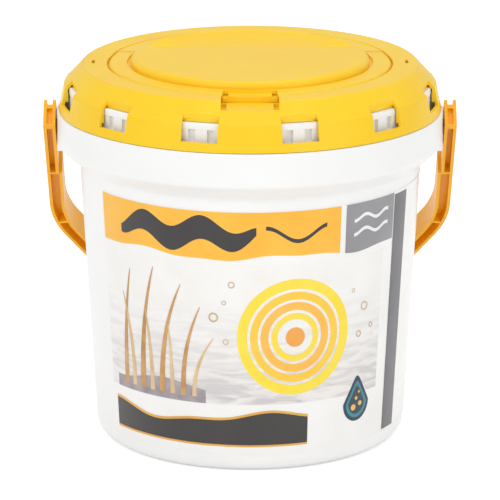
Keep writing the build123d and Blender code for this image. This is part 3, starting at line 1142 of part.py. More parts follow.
# ================================================================ leads
# Each lead rises from its first end, crosses under the ceiling of the case and drops to its last end.
SWITCH_REAR_Y = SWITCH_Y + SWITCH_SIZE / 2
LEADS = {
    "lead_battery_to_switch": [
        (-CELL_X, LEAD_REAR_Y, CONTACT_TOP_Z),
        (-CELL_X, LEAD_REAR_Y, LEAD_Z),
        (SWITCH_X + TERMINAL_HALF, LEAD_REAR_Y, LEAD_Z),
        (SWITCH_X + TERMINAL_HALF, LEAD_REAR_Y, TERMINAL_Z),
        (SWITCH_X + TERMINAL_HALF, SWITCH_REAR_Y, TERMINAL_Z),
    ],
    "lead_switch_to_motor": [
        (SWITCH_X - TERMINAL_HALF, SWITCH_REAR_Y, TERMINAL_Z),
        (SWITCH_X - TERMINAL_HALF, LEAD_FRONT_Y, TERMINAL_Z),
        (SWITCH_X - TERMINAL_HALF, LEAD_FRONT_Y, LEAD_Z),
        (MOTOR_X - TERMINAL_HALF, LEAD_FRONT_Y, LEAD_Z),
        (MOTOR_X - TERMINAL_HALF, LEAD_FRONT_Y, TERMINAL_Z),
        (MOTOR_X - TERMINAL_HALF, MOTOR_REAR_Y, TERMINAL_Z),
    ],
    "lead_motor_to_battery": [
        (CELL_X, LEAD_REAR_Y, CONTACT_TOP_Z),
        (CELL_X, LEAD_REAR_Y, LEAD_Z),
        (MOTOR_X + TERMINAL_HALF, LEAD_REAR_Y, LEAD_Z),
        (MOTOR_X + TERMINAL_HALF, LEAD_REAR_Y, TERMINAL_Z),
        (MOTOR_X + TERMINAL_HALF, MOTOR_REAR_Y, TERMINAL_Z),
    ],
}
for label, route in LEADS.items():
    with BuildPart() as lead:
        with BuildLine() as lead_path:
            FilletPolyline(*route, radius=LEAD_BEND_R)
        with BuildSketch(Plane(lead_path.line @ 0, z_dir=lead_path.line % 0)):
            Circle(LEAD_R)
        sweep(path=lead_path.line)
    labelled(lead, label)
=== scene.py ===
"""Aerated bait bucket: the finished surfaces of the pail, its lid, door, bail and aerator.

The measured pieces come from the frame. This file gives each one its finish, lays the printed label over
the body, and sets up the stage and the camera. Lengths are in metres unless a name ends in mm. +Z is up and
the front, with the finger notch, faces -Y.
"""

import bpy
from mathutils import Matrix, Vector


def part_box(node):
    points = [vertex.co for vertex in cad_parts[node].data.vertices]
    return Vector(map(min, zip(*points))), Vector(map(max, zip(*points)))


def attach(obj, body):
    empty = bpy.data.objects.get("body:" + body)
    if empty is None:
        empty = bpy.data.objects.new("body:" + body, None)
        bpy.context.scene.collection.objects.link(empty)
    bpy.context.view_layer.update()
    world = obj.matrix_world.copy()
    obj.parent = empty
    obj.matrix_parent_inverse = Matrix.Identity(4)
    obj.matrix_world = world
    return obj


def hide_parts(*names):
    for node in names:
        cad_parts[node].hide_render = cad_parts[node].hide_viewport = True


bl_info = {
    "name": "Aerated bait bucket",
    "version": (1, 0, 0),
    "blender": (4, 5, 0),
    "location": "View3D > Sidebar > Bait bucket",
    "description": "Finishes of a lidded bait pail with a bail and a battery aerator",
    "category": "Add Mesh",
}

from math import cos, pi, radians, sin

import bpy
import numpy as np
from mathutils import Vector

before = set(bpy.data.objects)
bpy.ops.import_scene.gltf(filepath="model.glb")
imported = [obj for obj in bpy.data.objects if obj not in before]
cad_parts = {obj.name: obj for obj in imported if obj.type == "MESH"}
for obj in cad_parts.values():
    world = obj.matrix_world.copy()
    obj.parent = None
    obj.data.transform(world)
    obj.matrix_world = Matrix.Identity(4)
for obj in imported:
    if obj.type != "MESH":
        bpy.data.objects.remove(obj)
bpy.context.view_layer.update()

MM = 0.001
label_low, label_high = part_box("front_label")

# The body tapers: its radius grows by this much for each metre of height.
BODY_TAPER = 9.87 / 181
LABEL_TOP_R = label_high.x
LABEL_LEFT = radians(59.0)
LABEL_SWEEP = radians(236.0)
LABEL_START = -LABEL_LEFT * LABEL_TOP_R
LABEL_STOP = (LABEL_SWEEP - LABEL_LEFT) * LABEL_TOP_R
FILM_MM = 0.22
INK_MM = 0.05
INK_LAYER_MM = 0.06

# Layers of print, counted outwards from the film.
LAYER_FILM, LAYER_PICTURE, LAYER_GROUND, LAYER_FIGURE, LAYER_FRONT = range(5)

# The print. Arcs run from the front along the label's top edge, to the right, and heights are over the base.
PRINT_MARGIN = 0.002             # bare film beside the picture and the band
PRINT_TOP_MARGIN = 0.0005        # bare film above the band and the flag
PICTURE_STOP = 0.098
PICTURE_LOW, PICTURE_HIGH = 0.046, 0.139
SHALLOWS_START, SHALLOWS_STOP = -0.104, -0.030
BAND_STOP = 0.060
SWELL_LEFT, SWELL_RIGHT = -0.093, 0.005
SWELL_INSET = 0.001              # the brush mark stops this far inside its ends
SWELL_FULL, SWELL_LEAST = 0.0070, 0.0010
TAIL_START, TAIL_STOP, TAIL_HALF = 0.010, 0.050, 0.0013
BED_START, BED_STOP = LABEL_START + 0.006, 0.040
BED_LOW = 0.0185
GOLD_UNDER, GOLD_OVER = 0.0003, 0.0013    # the gold line reaches this far under and over the seabed's edge
GOLD_FOOT_LOW, GOLD_FOOT_HIGH = 0.0175, 0.0188

RINGS_AT = (0.030, 0.0905)
RINGS = (                        # radius, width and colours, from the outside in
    (0.0385, 0.0065, ("#FFE02F", "#FFE84A")),
    (0.0300, 0.0050, ("#FFCB33", "#FFD445")),
    (0.0232, 0.0052, ("#FFB93A", "#FFC552")),
    (0.0160, 0.0040, ("#FFDB38", "#FFE34C")),
)
RINGS_CENTRE_R = 0.0065

REED_FOOT = 0.050                # height of every root
REED_BEND = 2.2                  # the higher, the nearer to its tip a reed bends
REED_TAPER = 0.7
REED_TIP_W = 0.0004
BLADE_MAX_W = 0.0035             # narrower ones are printed paler, as blades
REEDS = (                        # arcs of root and tip, height of the tip, width at the root
    (-0.094, -0.086, 0.128, 0.0040),
    (-0.086, -0.094, 0.112, 0.0034),
    (-0.078, -0.066, 0.133, 0.0044),
    (-0.070, -0.074, 0.104, 0.0032),
    (-0.062, -0.046, 0.124, 0.0042),
    (-0.054, -0.056, 0.096, 0.0030),
    (-0.046, -0.033, 0.110, 0.0036),
    (-0.038, -0.024, 0.090, 0.0028),
)

FLAG_START, FLAG_STOP = 0.0640, 0.1075
WAVELET_START, WAVELET_STOP = 0.0705, 0.1010
WAVELET_HEIGHTS = (0.1535, 0.1625)
WAVELET_SWING, WAVELET_LENGTH, WAVELET_W = 0.0017, 0.0030, 0.0022
STRIPE_START, STRIPE_STOP = 0.1085, 0.1240
STRIPE_MARGIN = 0.002

BADGE_AT = (0.079, 0.0395)
BADGE_HALF_W, BADGE_HALF_H = 0.0115, 0.0125
BADGE_PINCH, BADGE_STRETCH = 0.55, 0.45   # how far the upper half narrows and rises to the point
BADGE_SIZES = (                  # share of the full size, and colours
    (1.0, ("#0F2F3E", "#14394A")),
    (0.80, ("#2E7F8E", "#3A93A2")),
    (0.62, ("#123646", "#174052")),
)
BADGE_BUBBLES = (                # arc, height and radius
    (0.0762, 0.0365, 0.0021),
    (0.0822, 0.0385, 0.0016),
    (0.0785, 0.0425, 0.0012),
    (0.0808, 0.0465, 0.0009),
)
BUBBLES = (                      # arc, height and radius
    (-0.024, 0.104, 0.0032),
    (-0.012, 0.126, 0.0022),
    (-0.017, 0.114, 0.0015),
    (-0.016, 0.088, 0.0020),
    (0.082, 0.104, 0.0030),
    (0.089, 0.090, 0.0018),
    (0.078, 0.086, 0.0022),
    (0.072, 0.116, 0.0014),
)
BUBBLE_LINE = 0.32               # line width as a share of a bubble's radius

# The cells lie along Y. Their jacket is copper-coloured in front of this.
CELL_COPPER_Y = -0.038

FLOOR_HALF = 6
FLOOR_DROP = 0.0002              # the floor lies this far under the foot, so the faces don't meet
FLOOR_GLOW = 0.35
ROOM_LIGHT = 0.66
LAMP_AIM = Vector((0, 0, 0.12))
LAMPS = (                        # name, place, side length, power in watts
    ("key", (-1.3, -1.9, 1.5), 1.5, 12.0),
    ("fill", (1.5, -1.7, 1.2), 1.4, 8.2),
    ("top", (0.0, 0.2, 2.2), 1.6, 10.0),
)
SENSOR_MM = 36


# ---------------------------------------------------------------------------------------------- helpers
def linear(hex_colour):
    """Turn an sRGB hex colour into linear RGBA."""
    channels = np.array([int(hex_colour[i:i + 2], 16) / 255 for i in (1, 3, 5)])
    low = channels / 12.92
    high = ((channels + 0.055) / 1.055) ** 2.4
    return (*np.where(channels <= 0.04045, low, high).tolist(), 1.0)


def add_node(tree, kind, settings=None, **inputs):
    """Add a node, set its properties, and give each input a value or a link.

    An input goes by its name with _ for each space, or by _ and its number where names repeat.
    """
    node = tree.nodes.new(kind)
    for key, value in (settings or {}).items():
        setattr(node, key, value)
    for key, value in inputs.items():
        socket = node.inputs[int(key[1:])] if key[1:].isdigit() else node.inputs[key.replace("_", " ")]
        if isinstance(value, bpy.types.NodeSocket):
            tree.links.new(value, socket)
        else:
            socket.default_value = value
    return node


def new_material(name, **shader_inputs):
    """Make an empty node material with one Principled shader, and return it with its tree and shader."""
    material = bpy.data.materials.new(name)
    material.use_nodes = True
    tree = material.node_tree
    tree.nodes.clear()
    shader = add_node(tree, "ShaderNodeBsdfPrincipled", **shader_inputs)
    add_node(tree, "ShaderNodeOutputMaterial", Surface=shader.outputs[0])
    return material, tree, shader


def wear(tree, shader, colours, patch_mm, grain_mm, grain_depth_mm, rough, stretch=(1, 1, 1)):
    """Give a shader a slow drift between colours, a fine grain in relief, and a gloss that varies a little.

    patch_mm is the size of a colour patch and grain_mm that of a grain. stretch packs the grain more
    tightly along an axis, as on a drawn or brushed face. Returns the object coordinates.
    """
    place = add_node(tree, "ShaderNodeTexCoord").outputs["Object"]
    packed = add_node(tree, "ShaderNodeMapping", Vector=place, Scale=stretch).outputs[0]
    patch = add_node(tree, "ShaderNodeTexNoise",
                     Vector=place, Scale=1 / (patch_mm * MM), Detail=4.0, Roughness=0.55)
    grain = add_node(tree, "ShaderNodeTexNoise",
                     Vector=packed, Scale=1 / (grain_mm * MM), Detail=3.0, Roughness=0.6)
    blend = add_node(tree, "ShaderNodeMapRange", Value=patch.outputs[0], From_Min=0.3, From_Max=0.7)
    colour = add_node(tree, "ShaderNodeMix", {"data_type": "RGBA"},
                      _0=blend.outputs[0], _6=linear(colours[0]), _7=linear(colours[1]))
    tree.links.new(colour.outputs[2], shader.inputs["Base Color"])
    gloss = add_node(tree, "ShaderNodeMapRange", Value=grain.outputs[0], To_Min=rough[0], To_Max=rough[1])
    tree.links.new(gloss.outputs[0], shader.inputs["Roughness"])
    relief = add_node(tree, "ShaderNodeBump",
                      Height=grain.outputs[0], Strength=0.6, Distance=grain_depth_mm * MM)
    tree.links.new(relief.outputs[0], shader.inputs["Normal"])
    return place


# -------------------------------------------------------------------------------------------- materials
def moulded_polypropylene(name, colours, rough=(0.30, 0.40)):
    """Injection moulded polypropylene: even pigment, a soft satin gloss and the faint peel of the mould."""
    material, tree, shader = new_material(name, IOR=1.49, Specular_IOR_Level=0.35)
    wear(tree, shader, colours, patch_mm=38, grain_mm=1.6, grain_depth_mm=0.02, rough=rough)
    return material


def moulded_polyethylene():
    """Moulded polyethylene pail wall: milky white, waxy, with a faint vertical flow from the gate."""
    material, tree, shader = new_material("moulded_polyethylene", IOR=1.51)
    wear(tree, shader, ("#F7F7F6", "#FCFCFB"), patch_mm=60, grain_mm=2.2, grain_depth_mm=0.025,
         rough=(0.34, 0.44), stretch=(1, 1, 0.25))
    return material


def bead_foam():
    """Moulded polystyrene bead foam: white beads pressed into cells, with a groove between them that is
    painted a darker grey as painted shade.
    """
    bead_mm, groove_depth_mm = 4.5, 0.3
    material, tree, shader = new_material("bead_foam", IOR=1.3, Roughness=0.85)
    place = add_node(tree, "ShaderNodeTexCoord").outputs["Object"]
    beads = add_node(tree, "ShaderNodeTexVoronoi", {"feature": "DISTANCE_TO_EDGE"},
                     Vector=place, Scale=1 / (bead_mm * MM))
    groove = add_node(tree, "ShaderNodeMapRange", Value=beads.outputs[0], From_Max=0.12)
    # Painted shade: the grooves between the beads are painted grey, the beads white; the foam itself is white
    # throughout.
    colour = add_node(tree, "ShaderNodeMix", {"data_type": "RGBA"},
                      _0=groove.outputs[0], _6=linear("#D9DAD8"), _7=linear("#F6F6F3"))
    relief = add_node(tree, "ShaderNodeBump", Height=groove.outputs[0], Strength=0.7,
                      Distance=groove_depth_mm * MM)
    tree.links.new(colour.outputs[2], shader.inputs["Base Color"])
    tree.links.new(relief.outputs[0], shader.inputs["Normal"])
    return material


def varnished_print(name, colours, patch_mm):
    """Start a print material: ink with the fine mottle of the press under a clear varnish."""
    material, tree, shader = new_material(name, IOR=1.5, Coat_Weight=0.25, Coat_Roughness=0.12)
    place = wear(tree, shader, colours, patch_mm, grain_mm=0.9, grain_depth_mm=0.006, rough=(0.30, 0.38))
    return material, tree, shader, place


def printed_film(name, colours, patch_mm=24):
    """Printed and varnished film in one ink."""
    return varnished_print(name, colours, patch_mm)[0]


def printed_water():
    """Printed picture of shallow water: pale above, warm grey below, crossed by soft bright ripples."""
    pale_above, grey_below = 0.118, 0.040
    ripple_mm, ripple_flatness = 26, 5
    material, tree, shader, place = varnished_print("printed_water", ("#F6F3EE", "#FBFAF8"), 30)
    flat = add_node(tree, "ShaderNodeMapping", Vector=place, Scale=(1, 1, ripple_flatness)).outputs[0]
    height = add_node(tree, "ShaderNodeSeparateXYZ", Vector=place).outputs[2]
    depth = add_node(tree, "ShaderNodeMapRange", Value=height, From_Min=pale_above, From_Max=grey_below)
    ripple = add_node(tree, "ShaderNodeTexNoise",
                      Vector=flat, Scale=1 / (ripple_mm * MM), Detail=5.0, Distortion=0.8)
    bright = add_node(tree, "ShaderNodeMapRange", Value=ripple.outputs[0], From_Min=0.38, From_Max=0.6)
    deep = add_node(tree, "ShaderNodeMix", {"data_type": "RGBA"},
                    _0=bright.outputs[0], _6=linear("#C9C4C6"), _7=linear("#F0EDE9"))
    water = add_node(tree, "ShaderNodeMix", {"data_type": "RGBA"},
                     _0=depth.outputs[0], _6=shader.inputs["Base Color"].links[0].from_socket,
                     _7=deep.outputs[2])
    tree.links.new(water.outputs[2], shader.inputs["Base Color"])
    return material


def drawn_steel(name, colours, stretch, rough=(0.26, 0.42)):
    """Drawn or rolled steel with thin plating: bright, with fine lines along the draw."""
    material, tree, shader = new_material(name, Metallic=1.0)
    wear(tree, shader, colours, patch_mm=9, grain_mm=0.5, grain_depth_mm=0.004, rough=rough, stretch=stretch)
    return material


def soft_rubber(name, colours, rough=(0.55, 0.7)):
    """Extruded or moulded rubber and soft vinyl: dull, slightly dusty."""
    material, tree, shader = new_material(name, IOR=1.52)
    wear(tree, shader, colours, patch_mm=7, grain_mm=0.6, grain_depth_mm=0.01, rough=rough)
    return material


def cell_jacket():
    """Printed steel jacket of a dry cell: black with a copper-coloured end, parted at a clean line."""
    material, tree, shader = new_material("cell_jacket", IOR=1.5)
    place = wear(tree, shader, ("#17181A", "#1E1F22"), patch_mm=12, grain_mm=0.7, grain_depth_mm=0.004,
                 rough=(0.22, 0.30))
    along = add_node(tree, "ShaderNodeSeparateXYZ", Vector=place).outputs[1]
    end = add_node(tree, "ShaderNodeMath", {"operation": "LESS_THAN"}, _0=along, _1=CELL_COPPER_Y)
    bands = add_node(tree, "ShaderNodeMix", {"data_type": "RGBA"}, _0=end.outputs[0],
                     _6=shader.inputs["Base Color"].links[0].from_socket, _7=linear("#B4733A"))
    tree.links.new(bands.outputs[2], shader.inputs["Base Color"])
    return material


def white_seen(tree, shader):
    """Let the camera, and reflections of the floor, see the floor as white wherever no shadow falls on it."""
    rays = add_node(tree, "ShaderNodeLightPath")
    direct = add_node(tree, "ShaderNodeMath", {"operation": "MAXIMUM"},
                      _0=rays.outputs["Is Camera Ray"], _1=rays.outputs["Is Glossy Ray"])
    seen = add_node(tree, "ShaderNodeMath", {"operation": "MAXIMUM"},
                    _0=direct.outputs[0], _1=rays.outputs["Is Transmission Ray"])
    glow = add_node(tree, "ShaderNodeMath", {"operation": "MULTIPLY"}, _0=seen.outputs[0], _1=FLOOR_GLOW)
    tree.links.new(glow.outputs[0], shader.inputs["Emission Strength"])
    shader.inputs["Emission Color"].default_value = (1, 1, 1, 1)


def dress(names, material):
    """Give the frame's nodes one finish."""
    for name in names:
        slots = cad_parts[name].data.materials
        slots.clear()
        slots.append(material)


# ----------------------------------------------------------------------------------------- label shapes
def on_body(along, height, out):
    """Points on the tapered body: along is the arc from the front at the label's top radius, out is the
    distance off the label's face. The radius grows with height by the taper.
    """
    radius = LABEL_TOP_R - BODY_TAPER * (label_high.z - height) + out
    angle = along / LABEL_TOP_R
    return np.stack((radius * np.sin(angle), -radius * np.cos(angle), height + 0 * along), axis=-1)


def square_to_disc(count):
    """Unit disc on a square grid: x = u * sqrt(1 - v*v/2) and y = v * sqrt(1 - u*u/2), which has no pole."""
    u, v = np.meshgrid(np.linspace(-1, 1, count), np.linspace(-1, 1, count))
    return u * np.sqrt(1 - v * v / 2), v * np.sqrt(1 - u * u / 2)


def wavy(height, *waves):
    """Height curve: a level with sine waves on it, each its swing, its length over 2 pi and its shift."""
    def curve(s):
        total = height + 0 * s
        for swing, length, shift in waves:
            total = total + swing * np.sin(s / length + shift)
        return total
    return curve


def strip(start, stop, low, high, count):
    """Grid between two height curves: each column runs from low(s) to high(s) in even steps."""
    along, share = np.meshgrid(np.linspace(start, stop, count), np.linspace(0, 1, 5))
    return along, low(along) * (1 - share) + high(along) * share


def disc(centre, height, radius, count=15):
    """Round spot: the unit disc grid, scaled and moved."""
    x, y = square_to_disc(count)
    return centre + radius * x, height + radius * y


def ring(centre, height, radius, width, count=64):
    """Ring in two halves that meet: each runs over half a turn, from the outer to the inner radius."""
    halves = []
    for first in (0, pi):
        turn, reach = np.meshgrid(np.linspace(first, first + pi, count),
                                  np.linspace(radius, radius - width, 3))
        halves.append((centre + reach * np.cos(turn), height + reach * np.sin(turn)))
    return halves


def stroke(path_x, path_y, width, count=48):
    """Brush stroke: the path's points moved to both sides, square to the path, by half the width there."""
    t = np.linspace(0, 1, count)
    x, y = path_x(t), path_y(t)
    dx, dy = np.gradient(x), np.gradient(y)
    size = np.hypot(dx, dy)
    side = np.linspace(-0.5, 0.5, 3)[:, None]
    return x - side * width(t) * dy / size, y + side * width(t) * dx / size


def printed(name, patches, layer, thickness_mm=INK_MM):
    """One closed thin sheet for each patch of print. A patch is two equal grids: arc and height.

    The front grid lies off the film by its layer, the back one under it by the thickness, and a strip
    of faces joins them all round.
    """
    points, faces = [], []
    first = 0
    front_out = layer * INK_LAYER_MM * MM
    for along, height in patches:
        count = along.size
        front = on_body(along, height, front_out)
        back = on_body(along, height, front_out - thickness_mm * MM)
        points += [front.reshape(-1, 3), back.reshape(-1, 3)]
        index = np.arange(count).reshape(along.shape)
        cells = np.stack((index[:-1, :-1], index[:-1, 1:], index[1:, 1:], index[1:, :-1]), -1).reshape(-1, 4)
        rim = np.concatenate((index[0, :], index[1:, -1], index[-1, -2::-1], index[-2:0:-1, 0]))
        after = np.roll(rim, -1)
        walls = np.stack((after, rim, rim + count, after + count), -1)
        faces += [first + cells, first + cells[:, ::-1] + count, first + walls]
        first += 2 * count
    mesh = bpy.data.meshes.new(name)
    mesh.from_pydata(np.concatenate(points), [], np.concatenate(faces))
    mesh.validate()
    piece = bpy.data.objects.new(name, mesh)
    bpy.context.scene.collection.objects.link(piece)
    return piece


def finish_print(piece, material):
    """Put a printed piece on the bucket with its ink."""
    piece.data.materials.append(material)
    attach(piece, "bucket")


def print_piece(name, patches, layer, ink, colours, patch_mm=24):
    """Print one piece of the label in an ink of its own."""
    finish_print(printed(name, patches, layer), printed_film(ink, colours, patch_mm))


# --------------------------------------------------------------------------------------- label pictures
SHORE = wavy(0.1435, (0.0016, 0.016, 0), (0.0006, 0.0065, 0))
CREST = wavy(0.1585, (0.0046, 0.0066, 0))
SHALLOWS_EDGE = wavy(0.057, (0.003, 0.013, 0))
SEABED = wavy(0.036, (0.0035, 0.024, 1), (0.0012, 0.009, 0))


def lay_film():
    """White film round the body, in the place of the plain label."""
    whole = strip(LABEL_START, LABEL_STOP, wavy(label_low.z), wavy(label_high.z), 260)
    film = printed("label_film", [whole], LAYER_FILM, thickness_mm=FILM_MM)
    finish_print(film, printed_film("film_white", ("#F6F5F2", "#FBFAF8")))
    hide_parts("front_label")


def print_water():
    """Picture of water with lavender shallows under the reeds."""
    water = strip(LABEL_START + PRINT_MARGIN, PICTURE_STOP, wavy(PICTURE_LOW), wavy(PICTURE_HIGH), 300)
    finish_print(printed("label_water", [water], LAYER_PICTURE), printed_water())
    shallows = strip(SHALLOWS_START, SHALLOWS_STOP, wavy(PICTURE_LOW), SHALLOWS_EDGE, 90)
    print_piece("label_shallows", [shallows], LAYER_GROUND, "ink_lavender_grey", ("#8F868D", "#B3A9AE"), 9)


def print_band():
    """Amber band along the top, with a dark swell in it that runs out into a thin line."""
    band = strip(LABEL_START + PRINT_MARGIN, BAND_STOP, SHORE, wavy(label_high.z - PRINT_TOP_MARGIN), 260)
    print_piece("label_band", [band], LAYER_GROUND, "ink_amber", ("#FFB92B", "#FFC338"))

    def half_width(s):
        inside = np.clip((s - SWELL_LEFT) * (SWELL_RIGHT - s), 0, None)
        return SWELL_FULL * np.sqrt(inside) / ((SWELL_RIGHT - SWELL_LEFT) / 2) + SWELL_LEAST

    swell = [strip(SWELL_LEFT + SWELL_INSET, SWELL_RIGHT - SWELL_INSET,
                   lambda s: CREST(s) - half_width(s), lambda s: CREST(s) + half_width(s), 200),
             strip(TAIL_START, TAIL_STOP,
                   lambda s: CREST(s) - TAIL_HALF, lambda s: CREST(s) + TAIL_HALF, 90)]
    print_piece("label_swell", swell, LAYER_FIGURE, "ink_black", ("#241E20", "#2F292A"))


def print_seabed():
    """Dark seabed along the foot, edged in gold above and below."""
    bed = strip(BED_START, BED_STOP, wavy(BED_LOW), SEABED, 260)
    print_piece("label_seabed", [bed], LAYER_GROUND, "ink_near_black", ("#2B2728", "#332E2E"))
    gold = [strip(BED_START, BED_STOP,
                  lambda s: SEABED(s) - GOLD_UNDER, lambda s: SEABED(s) + GOLD_OVER, 260),
            strip(BED_START, BED_STOP, wavy(GOLD_FOOT_LOW), wavy(GOLD_FOOT_HIGH), 260)]
    print_piece("label_gold_line", gold, LAYER_FIGURE, "ink_gold", ("#E0A22C", "#EDB548"))


def print_rings():
    """Rings that spread on the water round an amber spot, in yellows and ambers."""
    for number, (radius, width, colours) in enumerate(RINGS, 1):
        print_piece(f"label_ripple_{number}", ring(*RINGS_AT, radius, width), LAYER_FIGURE,
                    f"ink_ripple_{number}", colours)
    print_piece("label_drop_centre", [disc(*RINGS_AT, RINGS_CENTRE_R)], LAYER_FIGURE,
                "ink_amber_deep", ("#F0A03C", "#F7AE4C"))


def print_reeds():
    """Reeds at the left, each a tapering stroke that bends over."""
    reeds, blades = [], []
    for root, tip, top, width in REEDS:
        reed = stroke(lambda t: root + (tip - root) * t ** REED_BEND,
                      lambda t: REED_FOOT + (top - REED_FOOT) * t,
                      lambda t: width * (1 - t) ** REED_TAPER + REED_TIP_W)
        (reeds if width > BLADE_MAX_W else blades).append(reed)
    print_piece("label_reeds", reeds, LAYER_FRONT, "ink_tan", ("#B98242", "#D9AC6E"), 12)
    print_piece("label_blades", blades, LAYER_FRONT, "ink_sand", ("#D8B27C", "#EBD0A4"), 12)


def print_flag():
    """Grey flag beyond the band with two wavelets in it, and a dark stripe beyond that."""
    flag = strip(FLAG_START, FLAG_STOP, SHORE, wavy(label_high.z - PRINT_TOP_MARGIN), 60)
    print_piece("label_flag", [flag], LAYER_GROUND, "ink_grey", ("#8B8A8E", "#98979B"))
    wave = (WAVELET_SWING, WAVELET_LENGTH, 0)
    wavelets = [strip(WAVELET_START, WAVELET_STOP, wavy(base, wave), wavy(base + WAVELET_W, wave), 120)
                for base in WAVELET_HEIGHTS]
    print_piece("label_wavelets", wavelets, LAYER_FIGURE, "ink_white", ("#EFEEEC", "#F8F7F6"))
    stripe = strip(STRIPE_START, STRIPE_STOP,
                   wavy(label_low.z + STRIPE_MARGIN), wavy(label_high.z - STRIPE_MARGIN), 40)
    print_piece("label_stripe", [stripe], LAYER_FRONT, "ink_slate", ("#5B595D", "#67656A"))


def print_badge():
    """Drop badge: a round foot drawn up to a point, in three nested sizes, with bubbles in it."""
    centre, height = BADGE_AT
    for number, (size, colours) in enumerate(BADGE_SIZES):
        x, y = square_to_disc(21)
        pull = np.clip(y, 0, None)
        drop = (centre + BADGE_HALF_W * size * x * (1 - BADGE_PINCH * pull),
                height + BADGE_HALF_H * size * y * (1 + BADGE_STRETCH * pull))
        print_piece(f"label_badge_{number + 1}", [drop], LAYER_FIGURE + number,
                    f"ink_badge_{number + 1}", colours)
    print_piece("label_badge_bubbles", [disc(*bubble) for bubble in BADGE_BUBBLES],
                LAYER_FIGURE + len(BADGE_SIZES), "ink_straw", ("#F2B84A", "#F7C763"))


def print_bubbles():
    """Bubbles that rise beside the rings, in outline."""
    rising = []
    for centre, height, radius in BUBBLES:
        rising += ring(centre, height, radius, BUBBLE_LINE * radius, 24)
    print_piece("label_bubbles", rising, LAYER_FRONT, "ink_fawn", ("#C9A679", "#DBC09B"))


# ------------------------------------------------------------------------------------------- properties
class BaitBucketColours(bpy.types.PropertyGroup):
    lid_light: bpy.props.StringProperty(name="Lid, light", description="Lighter pigment of the lid and door",
                                        default="#FFD629")
    lid_deep: bpy.props.StringProperty(name="Lid, deep", description="Deeper pigment of the lid and door",
                                       default="#FFCF1B")
    bail_light: bpy.props.StringProperty(name="Bail, light", description="Lighter pigment of the bail",
                                         default="#FFB90E")
    bail_deep: bpy.props.StringProperty(name="Bail, deep", description="Deeper pigment of the bail",
                                        default="#FCAF06")


class BaitBucketStage(bpy.types.PropertyGroup):
    distance: bpy.props.FloatProperty(name="Distance", description="From the camera to the bucket's axis",
                                      unit="LENGTH", default=2.371)
    pitch: bpy.props.FloatProperty(name="Pitch", description="How far the camera looks down",
                                   subtype="ANGLE", default=radians(16.02))
    aim_height: bpy.props.FloatProperty(name="Aim height", description="Height of the point looked at",
                                        unit="LENGTH", default=0.1181)
    focal_length: bpy.props.FloatProperty(name="Focal length", description="Lens on a 36 mm wide sensor",
                                          unit="CAMERA", default=262.1)
    light: bpy.props.FloatProperty(name="Light", description="Level of all the lamps", min=0, default=1.0)


# -------------------------------------------------------------------------------------------- operators
class BAIT_OT_pail(bpy.types.Operator):
    """Finish the pail's shell and its foam liner"""
    bl_idname = "bait.pail"
    bl_label = "Pail"

    def execute(self, context):
        dress(["bucket_shell"], moulded_polyethylene())
        dress(["foam_liner"], bead_foam())
        return {"FINISHED"}


class BAIT_OT_label(bpy.types.Operator):
    """Lay the printed label round the body"""
    bl_idname = "bait.label"
    bl_label = "Label"

    def execute(self, context):
        lay_film()
        print_water()
        print_band()
        print_seabed()
        print_rings()
        print_reeds()
        print_flag()
        print_badge()
        print_bubbles()
        return {"FINISHED"}


class BAIT_OT_lid(bpy.types.Operator):
    """Finish the lid, its door and the hinge pin"""
    bl_idname = "bait.lid"
    bl_label = "Lid and door"

    def execute(self, context):
        colours = context.scene.bait_colours
        yellow = moulded_polypropylene("moulded_polypropylene_yellow", (colours.lid_deep, colours.lid_light))
        dress(["lid", "flip_door"], yellow)
        dress(["hinge_pin"], drawn_steel("drawn_stainless_wire", ("#9A9CA0", "#B4B6B9"), (0.15, 1, 1)))
        return {"FINISHED"}


class BAIT_OT_bail(bpy.types.Operator):
    """Finish the bail"""
    bl_idname = "bait.bail"
    bl_label = "Bail"

    def execute(self, context):
        colours = context.scene.bait_colours
        dress(["bail_handle"],
              moulded_polypropylene("moulded_polypropylene_amber", (colours.bail_deep, colours.bail_light)))
        return {"FINISHED"}


class BAIT_OT_aerator_case(bpy.types.Operator):
    """Finish the aerator's case, button, seal, screws and outlet"""
    bl_idname = "bait.aerator_case"
    bl_label = "Aerator case"

    def execute(self, context):
        white = moulded_polypropylene("moulded_abs_white", ("#F0F0EE", "#F6F6F4"), (0.24, 0.34))
        dress(["aerator_lower_case", "aerator_top_case", "air_outlet_nipple"], white)
        dress(["switch_button"], soft_rubber("moulded_rubber_button", ("#232427", "#2A2B2E")))
        dress(["case_seal"], soft_rubber("nitrile_seal", ("#17181A", "#202123")))
        dress(["case_screws", "clamp_screws"],
              drawn_steel("plated_screw_steel", ("#A3A4A6", "#BCBDBE"), (1, 1, 0.2)))
        return {"FINISHED"}


